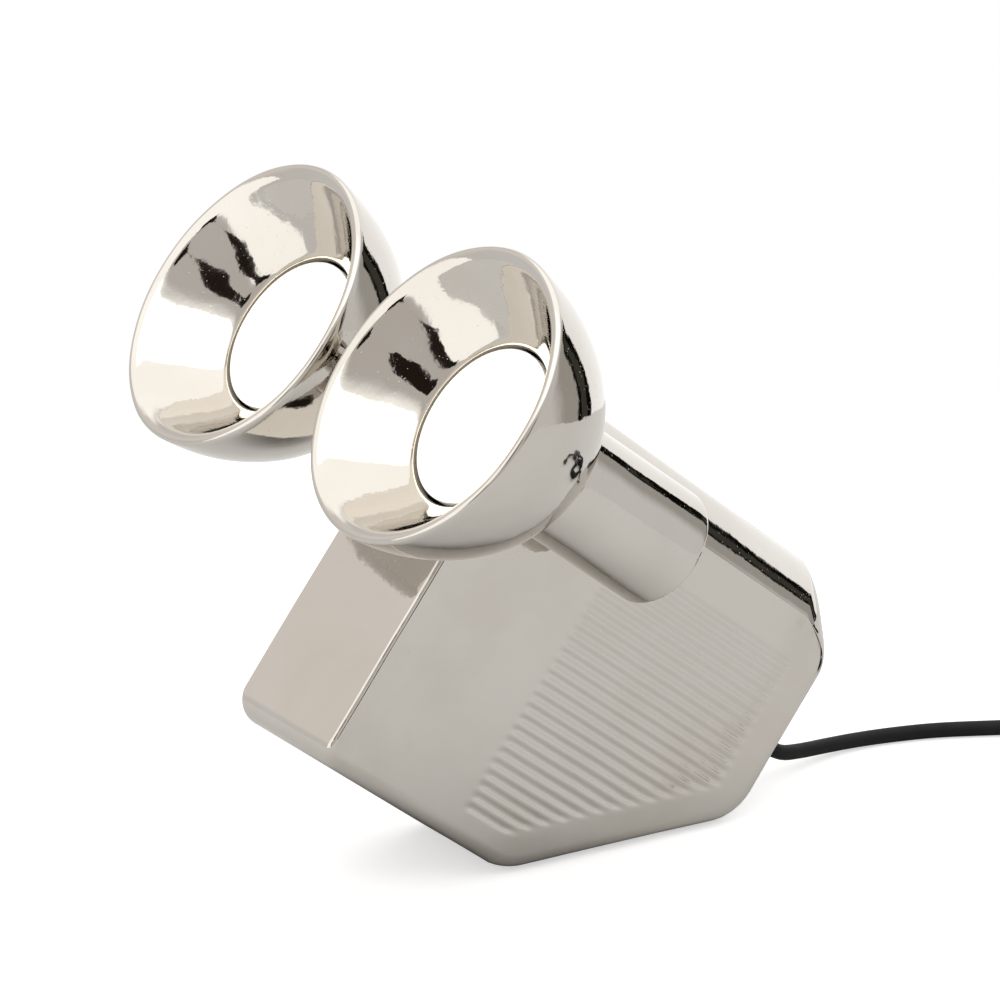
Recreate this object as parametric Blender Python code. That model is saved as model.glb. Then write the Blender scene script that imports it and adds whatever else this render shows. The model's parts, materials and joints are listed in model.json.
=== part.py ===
"""Table lamp: a tilted five-sided glazed case that carries two swivelling bowl heads, with a switched cord.

Metres, +Z up. The origin is on the table, below the middle of the case and heads. The bowls face -X.
"""

import math

import bmesh
import bpy
import numpy as np
from mathutils import Vector

# Clearances that the pieces share
GAP = 0.0003
OVERRUN = 0.002
SMOOTH_BELOW = math.radians(38)

# Case: a prism across Y, drawn in its own length and height and stood on its chamfer
CASE_LENGTH = 0.2325
CASE_HEIGHT = 0.196
CASE_WIDTH = 0.078
CASE_WALL = 0.005
CHAMFER_RUN = 0.107
CHAMFER_RISE = 0.079
FRONT_CORNER = 0.012
CHAMFER_CORNER = 0.035
REAR_LOW_CORNER = 0.0275
REAR_TOP_CORNER = 0.039
FRONT_TOP_CORNER = 0.014
SIDE_FILLET = 0.007
TOP_FILLET = 0.012
FRONT_FILLET = 0.0025
LEAST_INNER_FILLET = 0.001
CORNER_STEPS = 6
FILLET_STEPS = 3

# Grooves in both side faces, run along the case's length
GROOVE_PITCH = 0.00585
GROOVE_WIDTH = 0.0050
GROOVE_DEPTH = 0.0016
GROOVE_RAMP = 0.004
GROOVES_FROM_FRONT = 0.083
GROOVES_FROM_REAR = 0.0205
GROOVES_FROM_TOP = 0.044
GROOVES_FROM_BOTTOM = 0.0145
GROOVES_FROM_CHAMFER = 0.0174
GROOVE_FLANK_SHARE = 0.36
RAMP_DEPTH_SHARE = 0.45

# Head tilt axis in the case
PIVOT_FROM_FRONT = 0.0375
PIVOT_FROM_TOP = 0.036

# Feet and base plate under the chamfer
FOOT_RADIUS = 0.0045
FOOT_HEIGHT = 0.0015
FOOT_FROM_FRONT = 0.017
FOOT_FROM_REAR = 0.020
FOOT_FROM_SIDES = 0.014
FOOT_SPREAD = CASE_WIDTH - 2 * FOOT_FROM_SIDES
PLATE_TO_FOOT = 0.0025
PLATE_FROM_SIDES = 0.013
PLATE_WIDTH = CASE_WIDTH - 2 * PLATE_FROM_SIDES
PLATE_THICKNESS = 0.0015
PLATE_SUNK = 0.0003
PLATE_LAP = 0.005
BAR_FROM_SIDES = 0.003
BAR_LENGTH = CASE_WIDTH - 2 * (CASE_WALL + BAR_FROM_SIDES)
BAR_WIDTH = 0.009
BAR_THICKNESS = 0.003
BAR_FROM_OPENING = 0.001
SCREW_RADIUS = 0.0019
SCREW_HEAD_RADIUS = 0.0035
SCREW_HEAD_HEIGHT = 0.0011
SCREW_CLEARANCE = 0.0003
SCREW_TIP = 0.0015

# Ballast and terminal block inside the case
BALLAST_LENGTH = 0.050
BALLAST_WIDTH = 0.040
BALLAST_HEIGHT = 0.090
BALLAST_EDGE = 0.001
BALLAST_SCREW_RADIUS = 0.0029
BALLAST_SCREW_HEAD_RADIUS = 0.006
BALLAST_SCREW_REACH = 0.014
TERMINAL_LENGTH = 0.030
TERMINAL_WIDTH = 0.024
TERMINAL_HEIGHT = 0.015
TERMINAL_EDGE = 0.0012
LEAD_RADIUS = 0.00225
LEAD_SPACING = 0.0065
LEAD_BEND = 0.0135
LEAD_STRAIGHT = 0.0045
LEAD_PAST_TUBE = 0.0012
LEAD_BEND_AHEAD = 0.032
LEAD_CORNER_SHARE = 0.35
LEAD_RISE_SHARE = 0.3

# Bowl shade, in distances ahead of the tilt axis and from the head's own axis
BOWL_BACK = 0.045
BOWL_DEPTH = 0.075
BOWL_RIM_RADIUS = 0.0718
BOWL_BACK_RADIUS = 0.0274
BOWL_CENTRE_AHEAD = 0.00625
BOWL_WALL = 0.004
BOWL_LIP = 0.0047
BOWL_SIDES = 32
BOWL_STEPS = 7
BOWL_STEP_POWER = 1.5
LAMP_FROM_BACK = 0.0425
CONE_END_AHEAD = 0.0025
THROAT_ROLL = 0.0018
THROAT_ROLL_SHARES = (0.25, 0.5)
THROAT_COLLAR = 0.0055
HOLLOW_FROM_RIM = 0.0094
HOLLOW_CORNER = 0.001

# Lamp module
LAMP_RADIUS = 0.0375
LAMP_CLEARANCE = 0.0012
LAMP_DEPTH = 0.0145
LAMP_HUB_RADIUS = 0.020
LAMP_HUB_DEPTH = 0.007
LAMP_RIM_WALL = 0.0006
LAMP_EDGE = 0.002
DIFFUSER_DEPTH = 0.0022
DIFFUSER_CROWN = 0.0006
PIN_RADIUS = 0.0025
PIN_LENGTH = 0.0055
PIN_FROM_AXIS = 0.0265
LAMP_TWIST = math.radians(15)
LAMP_SIDES = 32
PIN_SLOT_STEPS = 4

# Lampholder
HOLDER_RADIUS = 0.034
HOLDER_DEPTH = 0.0125
HOLDER_EDGE = 0.001
HOLDER_FLOOR = 0.0055
HUB_CLEARANCE = 0.0008
COLLAR_RADIUS = 0.008
COLLAR_LENGTH = 0.0045

# Threaded tubes, their nuts and the bracket in each head
TUBE_RADIUS = 0.005
TUBE_BORE = 0.004
TUBE_PROUD = 0.0012
NUT_FLATS = 0.014
NUT_THICKNESS = 0.004
NUT_SIDES = 12
BRACKET_THICKNESS = 0.002
BRACKET_WIDTH = 0.016
BRACKET_BEHIND = 0.010
BRACKET_AHEAD = 0.040
BRACKET_PAST_AXIS = 0.009

# Housing, neck and swivel washer
HOUSING_RADIUS = 0.02825
HOUSING_WALL = 0.004
HOUSING_BEHIND = 0.0353
HOUSING_EDGE = 0.003
HOUSING_LIP = 0.0015
HOUSING_SIDES = 32
NECK_RADIUS = 0.013
NECK_LENGTH = 0.010
WASHER_RADIUS = 0.012
WASHER_THICKNESS = 0.001
NECK_SIDES = 24

# Strain relief in the rear face
CORD_RADIUS = 0.00375
CORD_EXIT_HEIGHT = 0.038
BARREL_RADIUS = 0.006
BARREL_LENGTH = 0.013
FLANGE_RADIUS = 0.0095
FLANGE_THICKNESS = 0.0025
RELIEF_LENGTH = 0.020
RELIEF_START_RADIUS = 0.0062
RELIEF_END_RADIUS = 0.0046
GLAND_NUT_FLATS = 0.018

# Coil of the cord
COIL_CENTRE = Vector((0.3097, -0.090, 0.0))
COIL_OUTER = 0.052
COIL_PITCH = 0.0081
LAYER_HEIGHT = 0.0081
LAYER_TURNS = 2.5
CLIMB_TURNS = 0.5
COIL_START = math.radians(55)
POINTS_PER_TURN = 24
GAP_SAMPLES = 4
TIE_THICKNESS = 0.001
TIE_WIDTH = 0.008
TIE_ANGLE = math.radians(-55)
TIE_SECTOR = math.radians(20)
COIL_LIFT = TIE_THICKNESS + GAP

# Inline switch
SWITCH_AT = Vector((0.3852, -0.1473, 0.0))
SWITCH_LENGTH = 0.070
SWITCH_WIDTH = 0.027
SWITCH_BASE_HEIGHT = 0.0100
SWITCH_COVER_HEIGHT = 0.0085
SWITCH_END_WIDTH = 0.013
SWITCH_END_LENGTH = 0.014
SWITCH_CORNER = 0.00467
SWITCH_EDGE = 0.0012
ROCKER_LENGTH = 0.0192
ROCKER_WIDTH = 0.0124
ROCKER_RISE = 0.0058
ROCKER_DROP = 0.0038
ROCKER_FOOT_SHARE = 0.5
ROCKER_TILT = math.radians(8)
ROCKER_PIVOT = 0.0125
ROCKER_PIN_RADIUS = 0.0012
ROCKER_PIN_LENGTH = 0.0016
WINDOW_CLEARANCE = 0.0012
ROCKER_SIDE_GAP = 0.0003
ROCKER_WELL_FLOOR = 0.0060

# Plug
PLUG_AT = Vector((0.3454, -0.2240, 0.0))
PLUG_LENGTH = 0.035
PLUG_WIDTH = 0.034
PLUG_NECK_WIDTH = 0.012
PLUG_THICKNESS = 0.0137
PLUG_EDGE = 0.002
PLUG_SHOULDER_SHARES = (0.30, 0.62)
PLUG_PIN_RADIUS = 0.002
PLUG_PIN_LENGTH = 0.019
PLUG_PIN_SPACING = 0.0186
PLUG_PIN_SUNK = 0.004

# Free stretches of the cord, from the strain relief to the plug
LEAD_ROUTE = [
    (0.1355, 0.0000, 0.0203),
    (0.1407, 0.0000, 0.01645),
    (0.1495, 0.0010, 0.0115),
    (0.1637, 0.0050, 0.0082),
    (0.1836, 0.0098, 0.0055),
    (0.2051, 0.0109, 0.0042),
    (0.2263, 0.0080, 0.0038),
    (0.2476, 0.0019, 0.0038),
    (0.2754, -0.0104, 0.0038),
    (0.3047, -0.0255, 0.0042),
    (0.3332, -0.0428, 0.0051),
]
LINK_ROUTE = [
    (0.3460, -0.0517, 0.0132),
    (0.3607, -0.0620, 0.0128),
    (0.3752, -0.0775, 0.0112),
    (0.3835, -0.0950, 0.0101),
    (0.3852, -0.1120, 0.0100),
]
TAIL_ROUTE = [
    (0.3852, -0.1826, 0.0100),
    (0.3842, -0.1975, 0.0097),
    (0.3772, -0.2120, 0.0084),
    (0.3632, -0.2215, 0.0072),
    (0.3457, -0.2240, 0.00685),
]
CORD_SPACING = 0.009
LEAD_POINT_SPACING = 0.0045
ROUTE_SUBSTEPS = 12
CORD_RESOLUTION = 2
COIL_RESOLUTION = 1

FINISHES = {
    "platinum_glaze": ((0.66, 0.63, 0.59), 0.10, 1.0),
    "steel": ((0.55, 0.55, 0.56), 0.35, 1.0),
    "black_steel": ((0.05, 0.05, 0.05), 0.45, 1.0),
    "brass": ((0.75, 0.58, 0.30), 0.30, 1.0),
    "white_plastic": ((0.85, 0.84, 0.81), 0.45, 0.0),
    "opal": ((0.97, 0.96, 0.93), 0.30, 0.0),
    "black_plastic": ((0.02, 0.02, 0.02), 0.40, 0.0),
    "black_rubber": ((0.015, 0.015, 0.015), 0.65, 0.0),
    "clear_rubber": ((0.55, 0.55, 0.53), 0.60, 0.0),
    "grey_fibre": ((0.30, 0.29, 0.27), 0.80, 0.0),
}

TILT = math.atan2(CHAMFER_RISE, CHAMFER_RUN)
ALONG = Vector((math.cos(TILT), 0.0, -math.sin(TILT)))
ACROSS = Vector((math.sin(TILT), 0.0, math.cos(TILT)))
CHAMFER_LENGTH = math.hypot(CHAMFER_RUN, CHAMFER_RISE)
STAND_HEIGHT = FOOT_HEIGHT + GAP
BORE_RADIUS = TUBE_RADIUS + GAP


# Outlines


def circle(radius, sides):
    return [
        (radius * math.cos(2 * math.pi * i / sides), radius * math.sin(2 * math.pi * i / sides))
        for i in range(sides)
    ]


def hexagon(across_flats, sides):
    """Points round a hexagon, spaced by equal angles so that they pair with a circle's."""
    sixth = math.pi / 3
    points = []
    for i in range(sides):
        angle = 2 * math.pi * i / sides
        radius = across_flats / 2 / math.cos(angle % sixth - sixth / 2)
        points.append((radius * math.cos(angle), radius * math.sin(angle)))
    return points


def rectangle(length, width, edge):
    """A rectangle round the origin with its corners cut off by edge."""
    x, y = length / 2, width / 2
    return [
        (x, y - edge),
        (x - edge, y),
        (edge - x, y),
        (-x, y - edge),
        (-x, edge - y),
        (edge - x, -y),
        (x - edge, -y),
        (x, edge - y),
    ]


def case_corners():
    """The case's sharp corners in its own (length, height), anticlockwise from the front's foot."""
    return [
        (0.0, 0.0),
        (CASE_LENGTH - CHAMFER_RUN, 0.0),
        (CASE_LENGTH, CHAMFER_RISE),
        (CASE_LENGTH, CASE_HEIGHT),
        (0.0, CASE_HEIGHT),
    ]


def case_outline():
    """(point, outward normal, side fillet) round the case, with its corners as arcs."""
    corners = [Vector(corner) for corner in case_corners()]
    rounds = [FRONT_CORNER, CHAMFER_CORNER, REAR_LOW_CORNER, REAR_TOP_CORNER, FRONT_TOP_CORNER]
    fillets = [SIDE_FILLET, SIDE_FILLET, SIDE_FILLET, TOP_FILLET, FRONT_FILLET]
    outline = []
    for i, (corner, radius) in enumerate(zip(corners, rounds)):
        before = (corner - corners[i - 1]).normalized()
        after = (corners[(i + 1) % len(corners)] - corner).normalized()
        first = math.atan2(-before.x, before.y)
        turn = before.angle(after)
        tangent = radius * math.tan(turn / 2)
        centre = corner - before * tangent + Vector((-before.y, before.x)) * radius
        for step in range(CORNER_STEPS + 1):
            share = step / CORNER_STEPS
            angle = first + turn * share
            normal = Vector((math.cos(angle), math.sin(angle)))
            fillet = fillets[i - 1] * (1 - share) + fillets[i] * share
            outline.append((centre + normal * radius, normal, fillet))
    return outline


def bowl_radius(ahead):
    """The bowl's outer radius at a distance ahead of the tilt axis: a half ellipse."""
    centre = BOWL_BACK + BOWL_DEPTH + BOWL_CENTRE_AHEAD
    at_rim = BOWL_CENTRE_AHEAD**2
    at_back = (centre - BOWL_BACK) ** 2
    fall = (BOWL_RIM_RADIUS**2 - BOWL_BACK_RADIUS**2) / (at_back - at_rim)
    return math.sqrt(BOWL_RIM_RADIUS**2 + fall * (at_rim - (centre - ahead) ** 2))


def bowl_skin(inset):
    """(radius, ahead) points along the bowl from its flat back to its lip, moved inwards by inset."""
    front = BOWL_BACK + BOWL_DEPTH - BOWL_LIP / 2
    points = []
    for step in range(BOWL_STEPS + 1):
        share = (step / BOWL_STEPS) ** BOWL_STEP_POWER
        ahead = BOWL_BACK + (front - BOWL_BACK) * share
        slope = (bowl_radius(ahead + GAP) - bowl_radius(ahead)) / GAP
        normal = Vector((1.0, -slope)).normalized()
        points.append((bowl_radius(ahead) - inset * normal.x, ahead - inset * normal.y))
    return points


def bowl_profile():
    """The shade's section: outer skin, rolled lip, inner cone, throat and the hollow between the skins."""
    rim = BOWL_BACK + BOWL_DEPTH
    lip = BOWL_LIP / 2
    throat = LAMP_RADIUS + LAMP_CLEARANCE
    lamp_front = BOWL_BACK + LAMP_FROM_BACK
    outer = bowl_skin(0.0)
    lip_middle = outer[-1][0] - lip
    lip_points = [
        (lip_middle + lip * math.cos(angle), rim - lip + lip * math.sin(angle))
        for angle in (math.pi / 4, math.pi / 2, 3 * math.pi / 4, math.pi)
    ]
    cone_end = (throat + THROAT_ROLL, lamp_front + CONE_END_AHEAD)
    roll_out, roll_ahead = THROAT_ROLL_SHARES
    roll = (throat + THROAT_ROLL * roll_out, lamp_front + CONE_END_AHEAD * roll_ahead)
    collar_back = lamp_front - THROAT_COLLAR
    lip_inside = lip_points[-1]
    slope = Vector((lip_inside[0] - cone_end[0], lip_inside[1] - cone_end[1])).normalized()
    behind = Vector((slope.y, -slope.x)) * BOWL_WALL
    hollow_back = BOWL_BACK + BOWL_WALL
    hollow_front = rim - HOLLOW_FROM_RIM
    hollow_end = (bowl_radius(hollow_front) - BOWL_WALL, hollow_front)
    inner = [point for point in bowl_skin(BOWL_WALL) if hollow_back < point[1] < hollow_front - BOWL_LIP]
    corner = (BOWL_BACK_RADIUS - HOLLOW_CORNER, hollow_back)
    return [
        (BORE_RADIUS, BOWL_BACK),
        *outer,
        *lip_points,
        cone_end,
        roll,
        (throat, lamp_front),
        (throat, collar_back),
        (throat + BOWL_WALL, collar_back),
        (cone_end[0] + behind.x, cone_end[1] + behind.y),
        hollow_end,
        *reversed(inner),
        corner,
        (BORE_RADIUS, hollow_back),
    ]


# Shapes


def bridge(shape, low, high):
    """Faces between two rings, either of which may be one point on the axis."""
    count = max(len(low), len(high))
    for i in range(count):
        j = (i + 1) % count
        corners = [low[i % len(low)], low[j % len(low)], high[j % len(high)], high[i % len(high)]]
        shape.faces.new(dict.fromkeys(corners))


def turned(profile, sides):
    """A section of (radius, height) points turned about Z; one that starts and ends on the axis is solid."""
    shape = bmesh.new()
    rings = []
    for radius, height in profile:
        outline = circle(radius, sides) if radius else [(0.0, 0.0)]
        rings.append([shape.verts.new((x, y, height)) for x, y in outline])
    following = rings[1:] if len(rings[0]) == 1 else rings[1:] + rings[:1]
    for low, high in zip(rings, following):
        bridge(shape, low, high)
    return shape


def lofted(loops):
    """Skin over loops of as many points each, with a flat face on the first and the last."""
    shape = bmesh.new()
    rings = [[shape.verts.new(point) for point in loop] for loop in loops]
    for low, high in zip(rings, rings[1:]):
        bridge(shape, low, high)
    shape.faces.new(rings[0])
    shape.faces.new(rings[-1])
    return shape


def prism(outline, low, high):
    return lofted([[(x, y, z) for x, y in outline] for z in (low, high)])


def edged_prism(outline_of, low, high, edge):
    """A prism whose outline is drawn in by edge at its two ends; outline_of takes that inset."""
    levels = [(low, edge), (low + edge, 0.0), (high - edge, 0.0), (high, edge)]
    return lofted([[(x, y, z) for x, y in outline_of(inset)] for z, inset in levels])


def sleeve(outer, inner, low, high):
    """A straight ring between an outer and an inner outline of as many points."""
    shape = bmesh.new()
    levels = [(outer, low), (outer, high), (inner, high), (inner, low)]
    rings = [[shape.verts.new((x, y, z)) for x, y in outline] for outline, z in levels]
    for first, second in zip(rings, rings[1:] + rings[:1]):
        bridge(shape, first, second)
    return shape


def block(low, high):
    """A box between two corners."""
    outline = [(low[0], low[1]), (high[0], low[1]), (high[0], high[1]), (low[0], high[1])]
    return prism(outline, low[2], high[2])


# Objects


def material(name, finish):
    colour, roughness, metallic = FINISHES[finish]
    made = bpy.data.materials.new(name)
    made.use_nodes = True
    shader = made.node_tree.nodes["Principled BSDF"]
    shader.inputs["Base Color"].default_value = (*colour, 1.0)
    shader.inputs["Roughness"].default_value = roughness
    shader.inputs["Metallic"].default_value = metallic
    return made


def placed(name, data, parent, at, turn):
    made = bpy.data.objects.new(name, data)
    bpy.context.scene.collection.objects.link(made)
    made.parent = parent
    made.location = at
    made.rotation_euler = turn
    return made


def frame(name, at, turn=(0, 0, 0), parent=None):
    return placed(name, None, parent, at, turn)


def mesh_of(name, shape):
    bmesh.ops.recalc_face_normals(shape, faces=shape.faces)
    mesh = bpy.data.meshes.new(name)
    shape.to_mesh(mesh)
    shape.free()
    mesh.shade_smooth()
    mesh.set_sharp_from_angle(angle=SMOOTH_BELOW)
    return mesh


def piece(name, shape, finish, parent=None, at=(0, 0, 0), turn=(0, 0, 0)):
    made = placed(name, mesh_of(name, shape), parent, at, turn)
    made.data.materials.append(material(name, finish))
    return made


def cutter(name, shape, parent=None, at=(0, 0, 0), turn=(0, 0, 0)):
    made = placed(name, mesh_of(name, shape), parent, at, turn)
    made.hide_render = True
    made.display_type = "WIRE"
    return made


def combine(target, operation, *others):
    for other in others:
        modifier = target.modifiers.new(other.name, "BOOLEAN")
        modifier.operation = operation
        modifier.object = other


def cut(target, *cutters):
    combine(target, "DIFFERENCE", *cutters)


def tube(name, points, radius, finish, resolution):
    curve = bpy.data.curves.new(name, "CURVE")
    curve.dimensions = "3D"
    curve.bevel_depth = radius
    curve.bevel_resolution = resolution
    curve.use_fill_caps = True
    spline = curve.splines.new("POLY")
    spline.points.add(len(points) - 1)
    for place, point in zip(spline.points, points):
        place.co = (*point, 1.0)
    made = placed(name, curve, None, (0, 0, 0), (0, 0, 0))
    made.data.materials.append(material(name, finish))
    return made


def smooth_route(route, spacing):
    """Points read every spacing or so along a smooth curve through the route's own points."""
    knots = [Vector(point) for point in route]
    path = [knots[0]]
    for i in range(len(knots) - 1):
        start, end = knots[i], knots[i + 1]
        before = knots[i - 1] if i else start - (end - start)
        after = knots[i + 2] if i + 2 < len(knots) else end + (end - start)
        for step in range(1, ROUTE_SUBSTEPS + 1):
            s = step / ROUTE_SUBSTEPS
            path.append(
                (
                    start * 2
                    + (end - before) * s
                    + (before * 2 - start * 5 + end * 4 - after) * s**2
                    + (start * 3 - before - end * 3 + after) * s**3
                )
                / 2
            )
    travelled = np.cumsum([0.0] + [(b - a).length for a, b in zip(path, path[1:])])
    count = max(2, round(travelled[-1] / spacing) + 1)
    wanted = np.linspace(0.0, travelled[-1], count)
    columns = [np.interp(wanted, travelled, [point[axis] for point in path]) for axis in range(3)]
    return [Vector(point) for point in zip(*columns)]


# Frames that carry the pieces


def middle_offset():
    """Where the chamfer's front edge goes along X, so that the case and heads stand about the origin."""
    foot = Vector((CASE_LENGTH - CHAMFER_RUN, 0.0))
    case_end = max(
        (point.x - foot.x) * ALONG.x + point.y * ACROSS.x for point, _, _ in case_outline()
    )
    pivot = (PIVOT_FROM_FRONT - foot.x) * ALONG.x + (CASE_HEIGHT - PIVOT_FROM_TOP) * ACROSS.x
    bowl_end = max(ahead * ALONG.x + radius * ACROSS.x for radius, ahead in bowl_profile())
    return -(case_end + pivot - bowl_end) / 2


def stand_frame():
    """On the chamfer's outer face, at its front edge, level with the table."""
    return frame("stand_frame", (middle_offset(), 0.0, STAND_HEIGHT))


def case_frame():
    """X along the case's length, Z along its height, from the foot of its front face."""
    foot = Vector((middle_offset(), 0.0, STAND_HEIGHT))
    return frame("case_frame", foot - ALONG * (CASE_LENGTH - CHAMFER_RUN), (0.0, TILT, 0.0))


def head_distance():
    """From the middle plane to each head's axis."""
    return CASE_WIDTH / 2 + 2 * GAP + WASHER_THICKNESS + NECK_LENGTH + HOUSING_RADIUS


def head_frame(side_name, side, case):
    """On the tilt axis, with Z ahead along the head and X upwards from it."""
    at = (PIVOT_FROM_FRONT, side * head_distance(), CASE_HEIGHT - PIVOT_FROM_TOP)
    return frame(side_name + "_head_pivot", at, (0.0, -math.pi / 2, 0.0), case)


# Case


def case_skin(inset, fillet_steps):
    """The case's closed skin moved inwards by inset, with its side edges rounded."""
    loops = []
    half = CASE_WIDTH / 2 - inset
    for side in (-1, 1):
        levels = range(fillet_steps, -1, -1) if side < 0 else range(fillet_steps + 1)
        for level in levels:
            angle = math.pi / 2 * level / fillet_steps
            loop = []
            for point, normal, fillet in case_outline():
                fillet = max(fillet - inset, LEAST_INNER_FILLET)
                inwards = inset + fillet * (1 - math.cos(angle))
                place = point - normal * inwards
                loop.append((place.x, side * (half - fillet * (1 - math.sin(angle))), place.y))
            loops.append(loop)
    return lofted(loops)


def groove_ends(height):
    """Where a groove at this height starts and ends along the case."""
    end = CASE_LENGTH - GROOVES_FROM_REAR
    slope = CHAMFER_RISE / CHAMFER_RUN
    above = CASE_LENGTH - CHAMFER_RUN + height / slope
    end = min(end, above - GROOVES_FROM_CHAMFER / math.sin(TILT))
    return GROOVES_FROM_FRONT, end


def groove_heights():
    """The heights at which a groove is long enough for its two ramps."""
    top = CASE_HEIGHT - GROOVES_FROM_TOP
    lowest = GROOVES_FROM_BOTTOM + GROOVE_WIDTH / 2
    count = int((top - lowest) / GROOVE_PITCH) + 1
    heights = [top - GROOVE_PITCH * i for i in range(count)]
    return [height for height in heights if groove_ends(height)[1] - groove_ends(height)[0] > 2 * GROOVE_RAMP]


def groove_cutter(side, case):
    """All grooves of one side face, each rounded in section and rising to the face at its ends."""
    shape = bmesh.new()
    face = CASE_WIDTH / 2
    half = GROOVE_WIDTH / 2
    section_shares = [(-1.0, 0.0), (-GROOVE_FLANK_SHARE, 1.0), (GROOVE_FLANK_SHARE, 1.0), (1.0, 0.0)]
    for height in groove_heights():
        start, end = groove_ends(height)
        stations = [
            (start, 0.0),
            (start + GROOVE_RAMP * RAMP_DEPTH_SHARE, 1.0),
            (end - GROOVE_RAMP * RAMP_DEPTH_SHARE, 1.0),
            (end, 0.0),
        ]
        rings = []
        for along, depth_share in stations:
            points = [(height - half, -OVERRUN)]
            points += [(height + half * a, GROOVE_DEPTH * b * depth_share - GAP) for a, b in section_shares]
            points.append((height + half, -OVERRUN))
            rings.append([shape.verts.new((along, side * (face - depth), z)) for z, depth in points])
        for low, high in zip(rings, rings[1:]):
            bridge(shape, low, high)
        shape.faces.new(rings[0])
        shape.faces.new(rings[-1])
    return cutter("groove_cutter", shape, case)


def plate_span():
    """The base plate's middle and length along the chamfer, between the feet."""
    first = FOOT_FROM_FRONT + FOOT_RADIUS + PLATE_TO_FOOT
    last = CHAMFER_LENGTH - FOOT_FROM_REAR - FOOT_RADIUS - PLATE_TO_FOOT
    return (first + last) / 2, last - first


def bar_places():
    """The clamp bars' middles along the chamfer, just inside the opening's two ends."""
    middle, length = plate_span()
    reach = length / 2 - PLATE_LAP - BAR_FROM_OPENING - BAR_WIDTH / 2
    return middle - reach, middle + reach


def make_case(case, stand):
    shell = piece("body_shell", case_skin(0.0, FILLET_STEPS), "platinum_glaze", case)
    cut(shell, cutter("case_hollow", case_skin(CASE_WALL, 2), case))
    cut(shell, groove_cutter(-1, case), groove_cutter(1, case))
    middle, length = plate_span()
    opening = rectangle(length - 2 * PLATE_LAP, PLATE_WIDTH - 2 * PLATE_LAP, PLATE_LAP)
    rebate = rectangle(length + 2 * GAP, PLATE_WIDTH + 2 * GAP, PLATE_LAP)
    cut(
        shell,
        cutter("base_opening", prism(opening, -OVERRUN, CASE_WALL + OVERRUN), stand, (middle, 0.0, 0.0)),
        cutter("base_rebate", prism(rebate, -OVERRUN, rebate_depth()), stand, (middle, 0.0, 0.0)),
    )
    bore = turned_rod(BORE_RADIUS, -CASE_WIDTH, CASE_WIDTH, NUT_SIDES)
    at = (PIVOT_FROM_FRONT, 0.0, CASE_HEIGHT - PIVOT_FROM_TOP)
    cut(shell, cutter("neck_holes", bore, case, at, (math.pi / 2, 0.0, 0.0)))
    hole = turned_rod(BARREL_RADIUS + GAP, -CASE_WALL - OVERRUN, OVERRUN, NUT_SIDES)
    cut(shell, cutter("cord_hole", hole, case, cord_exit(), (0.0, math.pi / 2, 0.0)))


def turned_rod(radius, low, high, sides):
    return prism(circle(radius, sides), low, high)


def rebate_depth():
    return PLATE_SUNK + PLATE_THICKNESS + GAP


def make_feet(stand):
    number = 1
    for x in (FOOT_FROM_FRONT, CHAMFER_LENGTH - FOOT_FROM_REAR):
        for y in (-FOOT_SPREAD / 2, FOOT_SPREAD / 2):
            pad = turned_rod(FOOT_RADIUS, -STAND_HEIGHT, -GAP, NUT_SIDES)
            piece(f"foot_{number}", pad, "clear_rubber", stand, (x, y, 0.0))
            number += 1


def screw(name, radius, head_radius, top, stand, x):
    """A low-headed screw that points up, its head just under the base plate."""
    under = PLATE_SUNK - GAP
    profile = [
        (0.0, under - SCREW_HEAD_HEIGHT),
        (head_radius, under - SCREW_HEAD_HEIGHT),
        (head_radius, under),
        (radius, under),
        (radius, top),
        (0.0, top),
    ]
    piece(name, turned(profile, NUT_SIDES), "steel", stand, (x, 0.0, 0.0))


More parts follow.
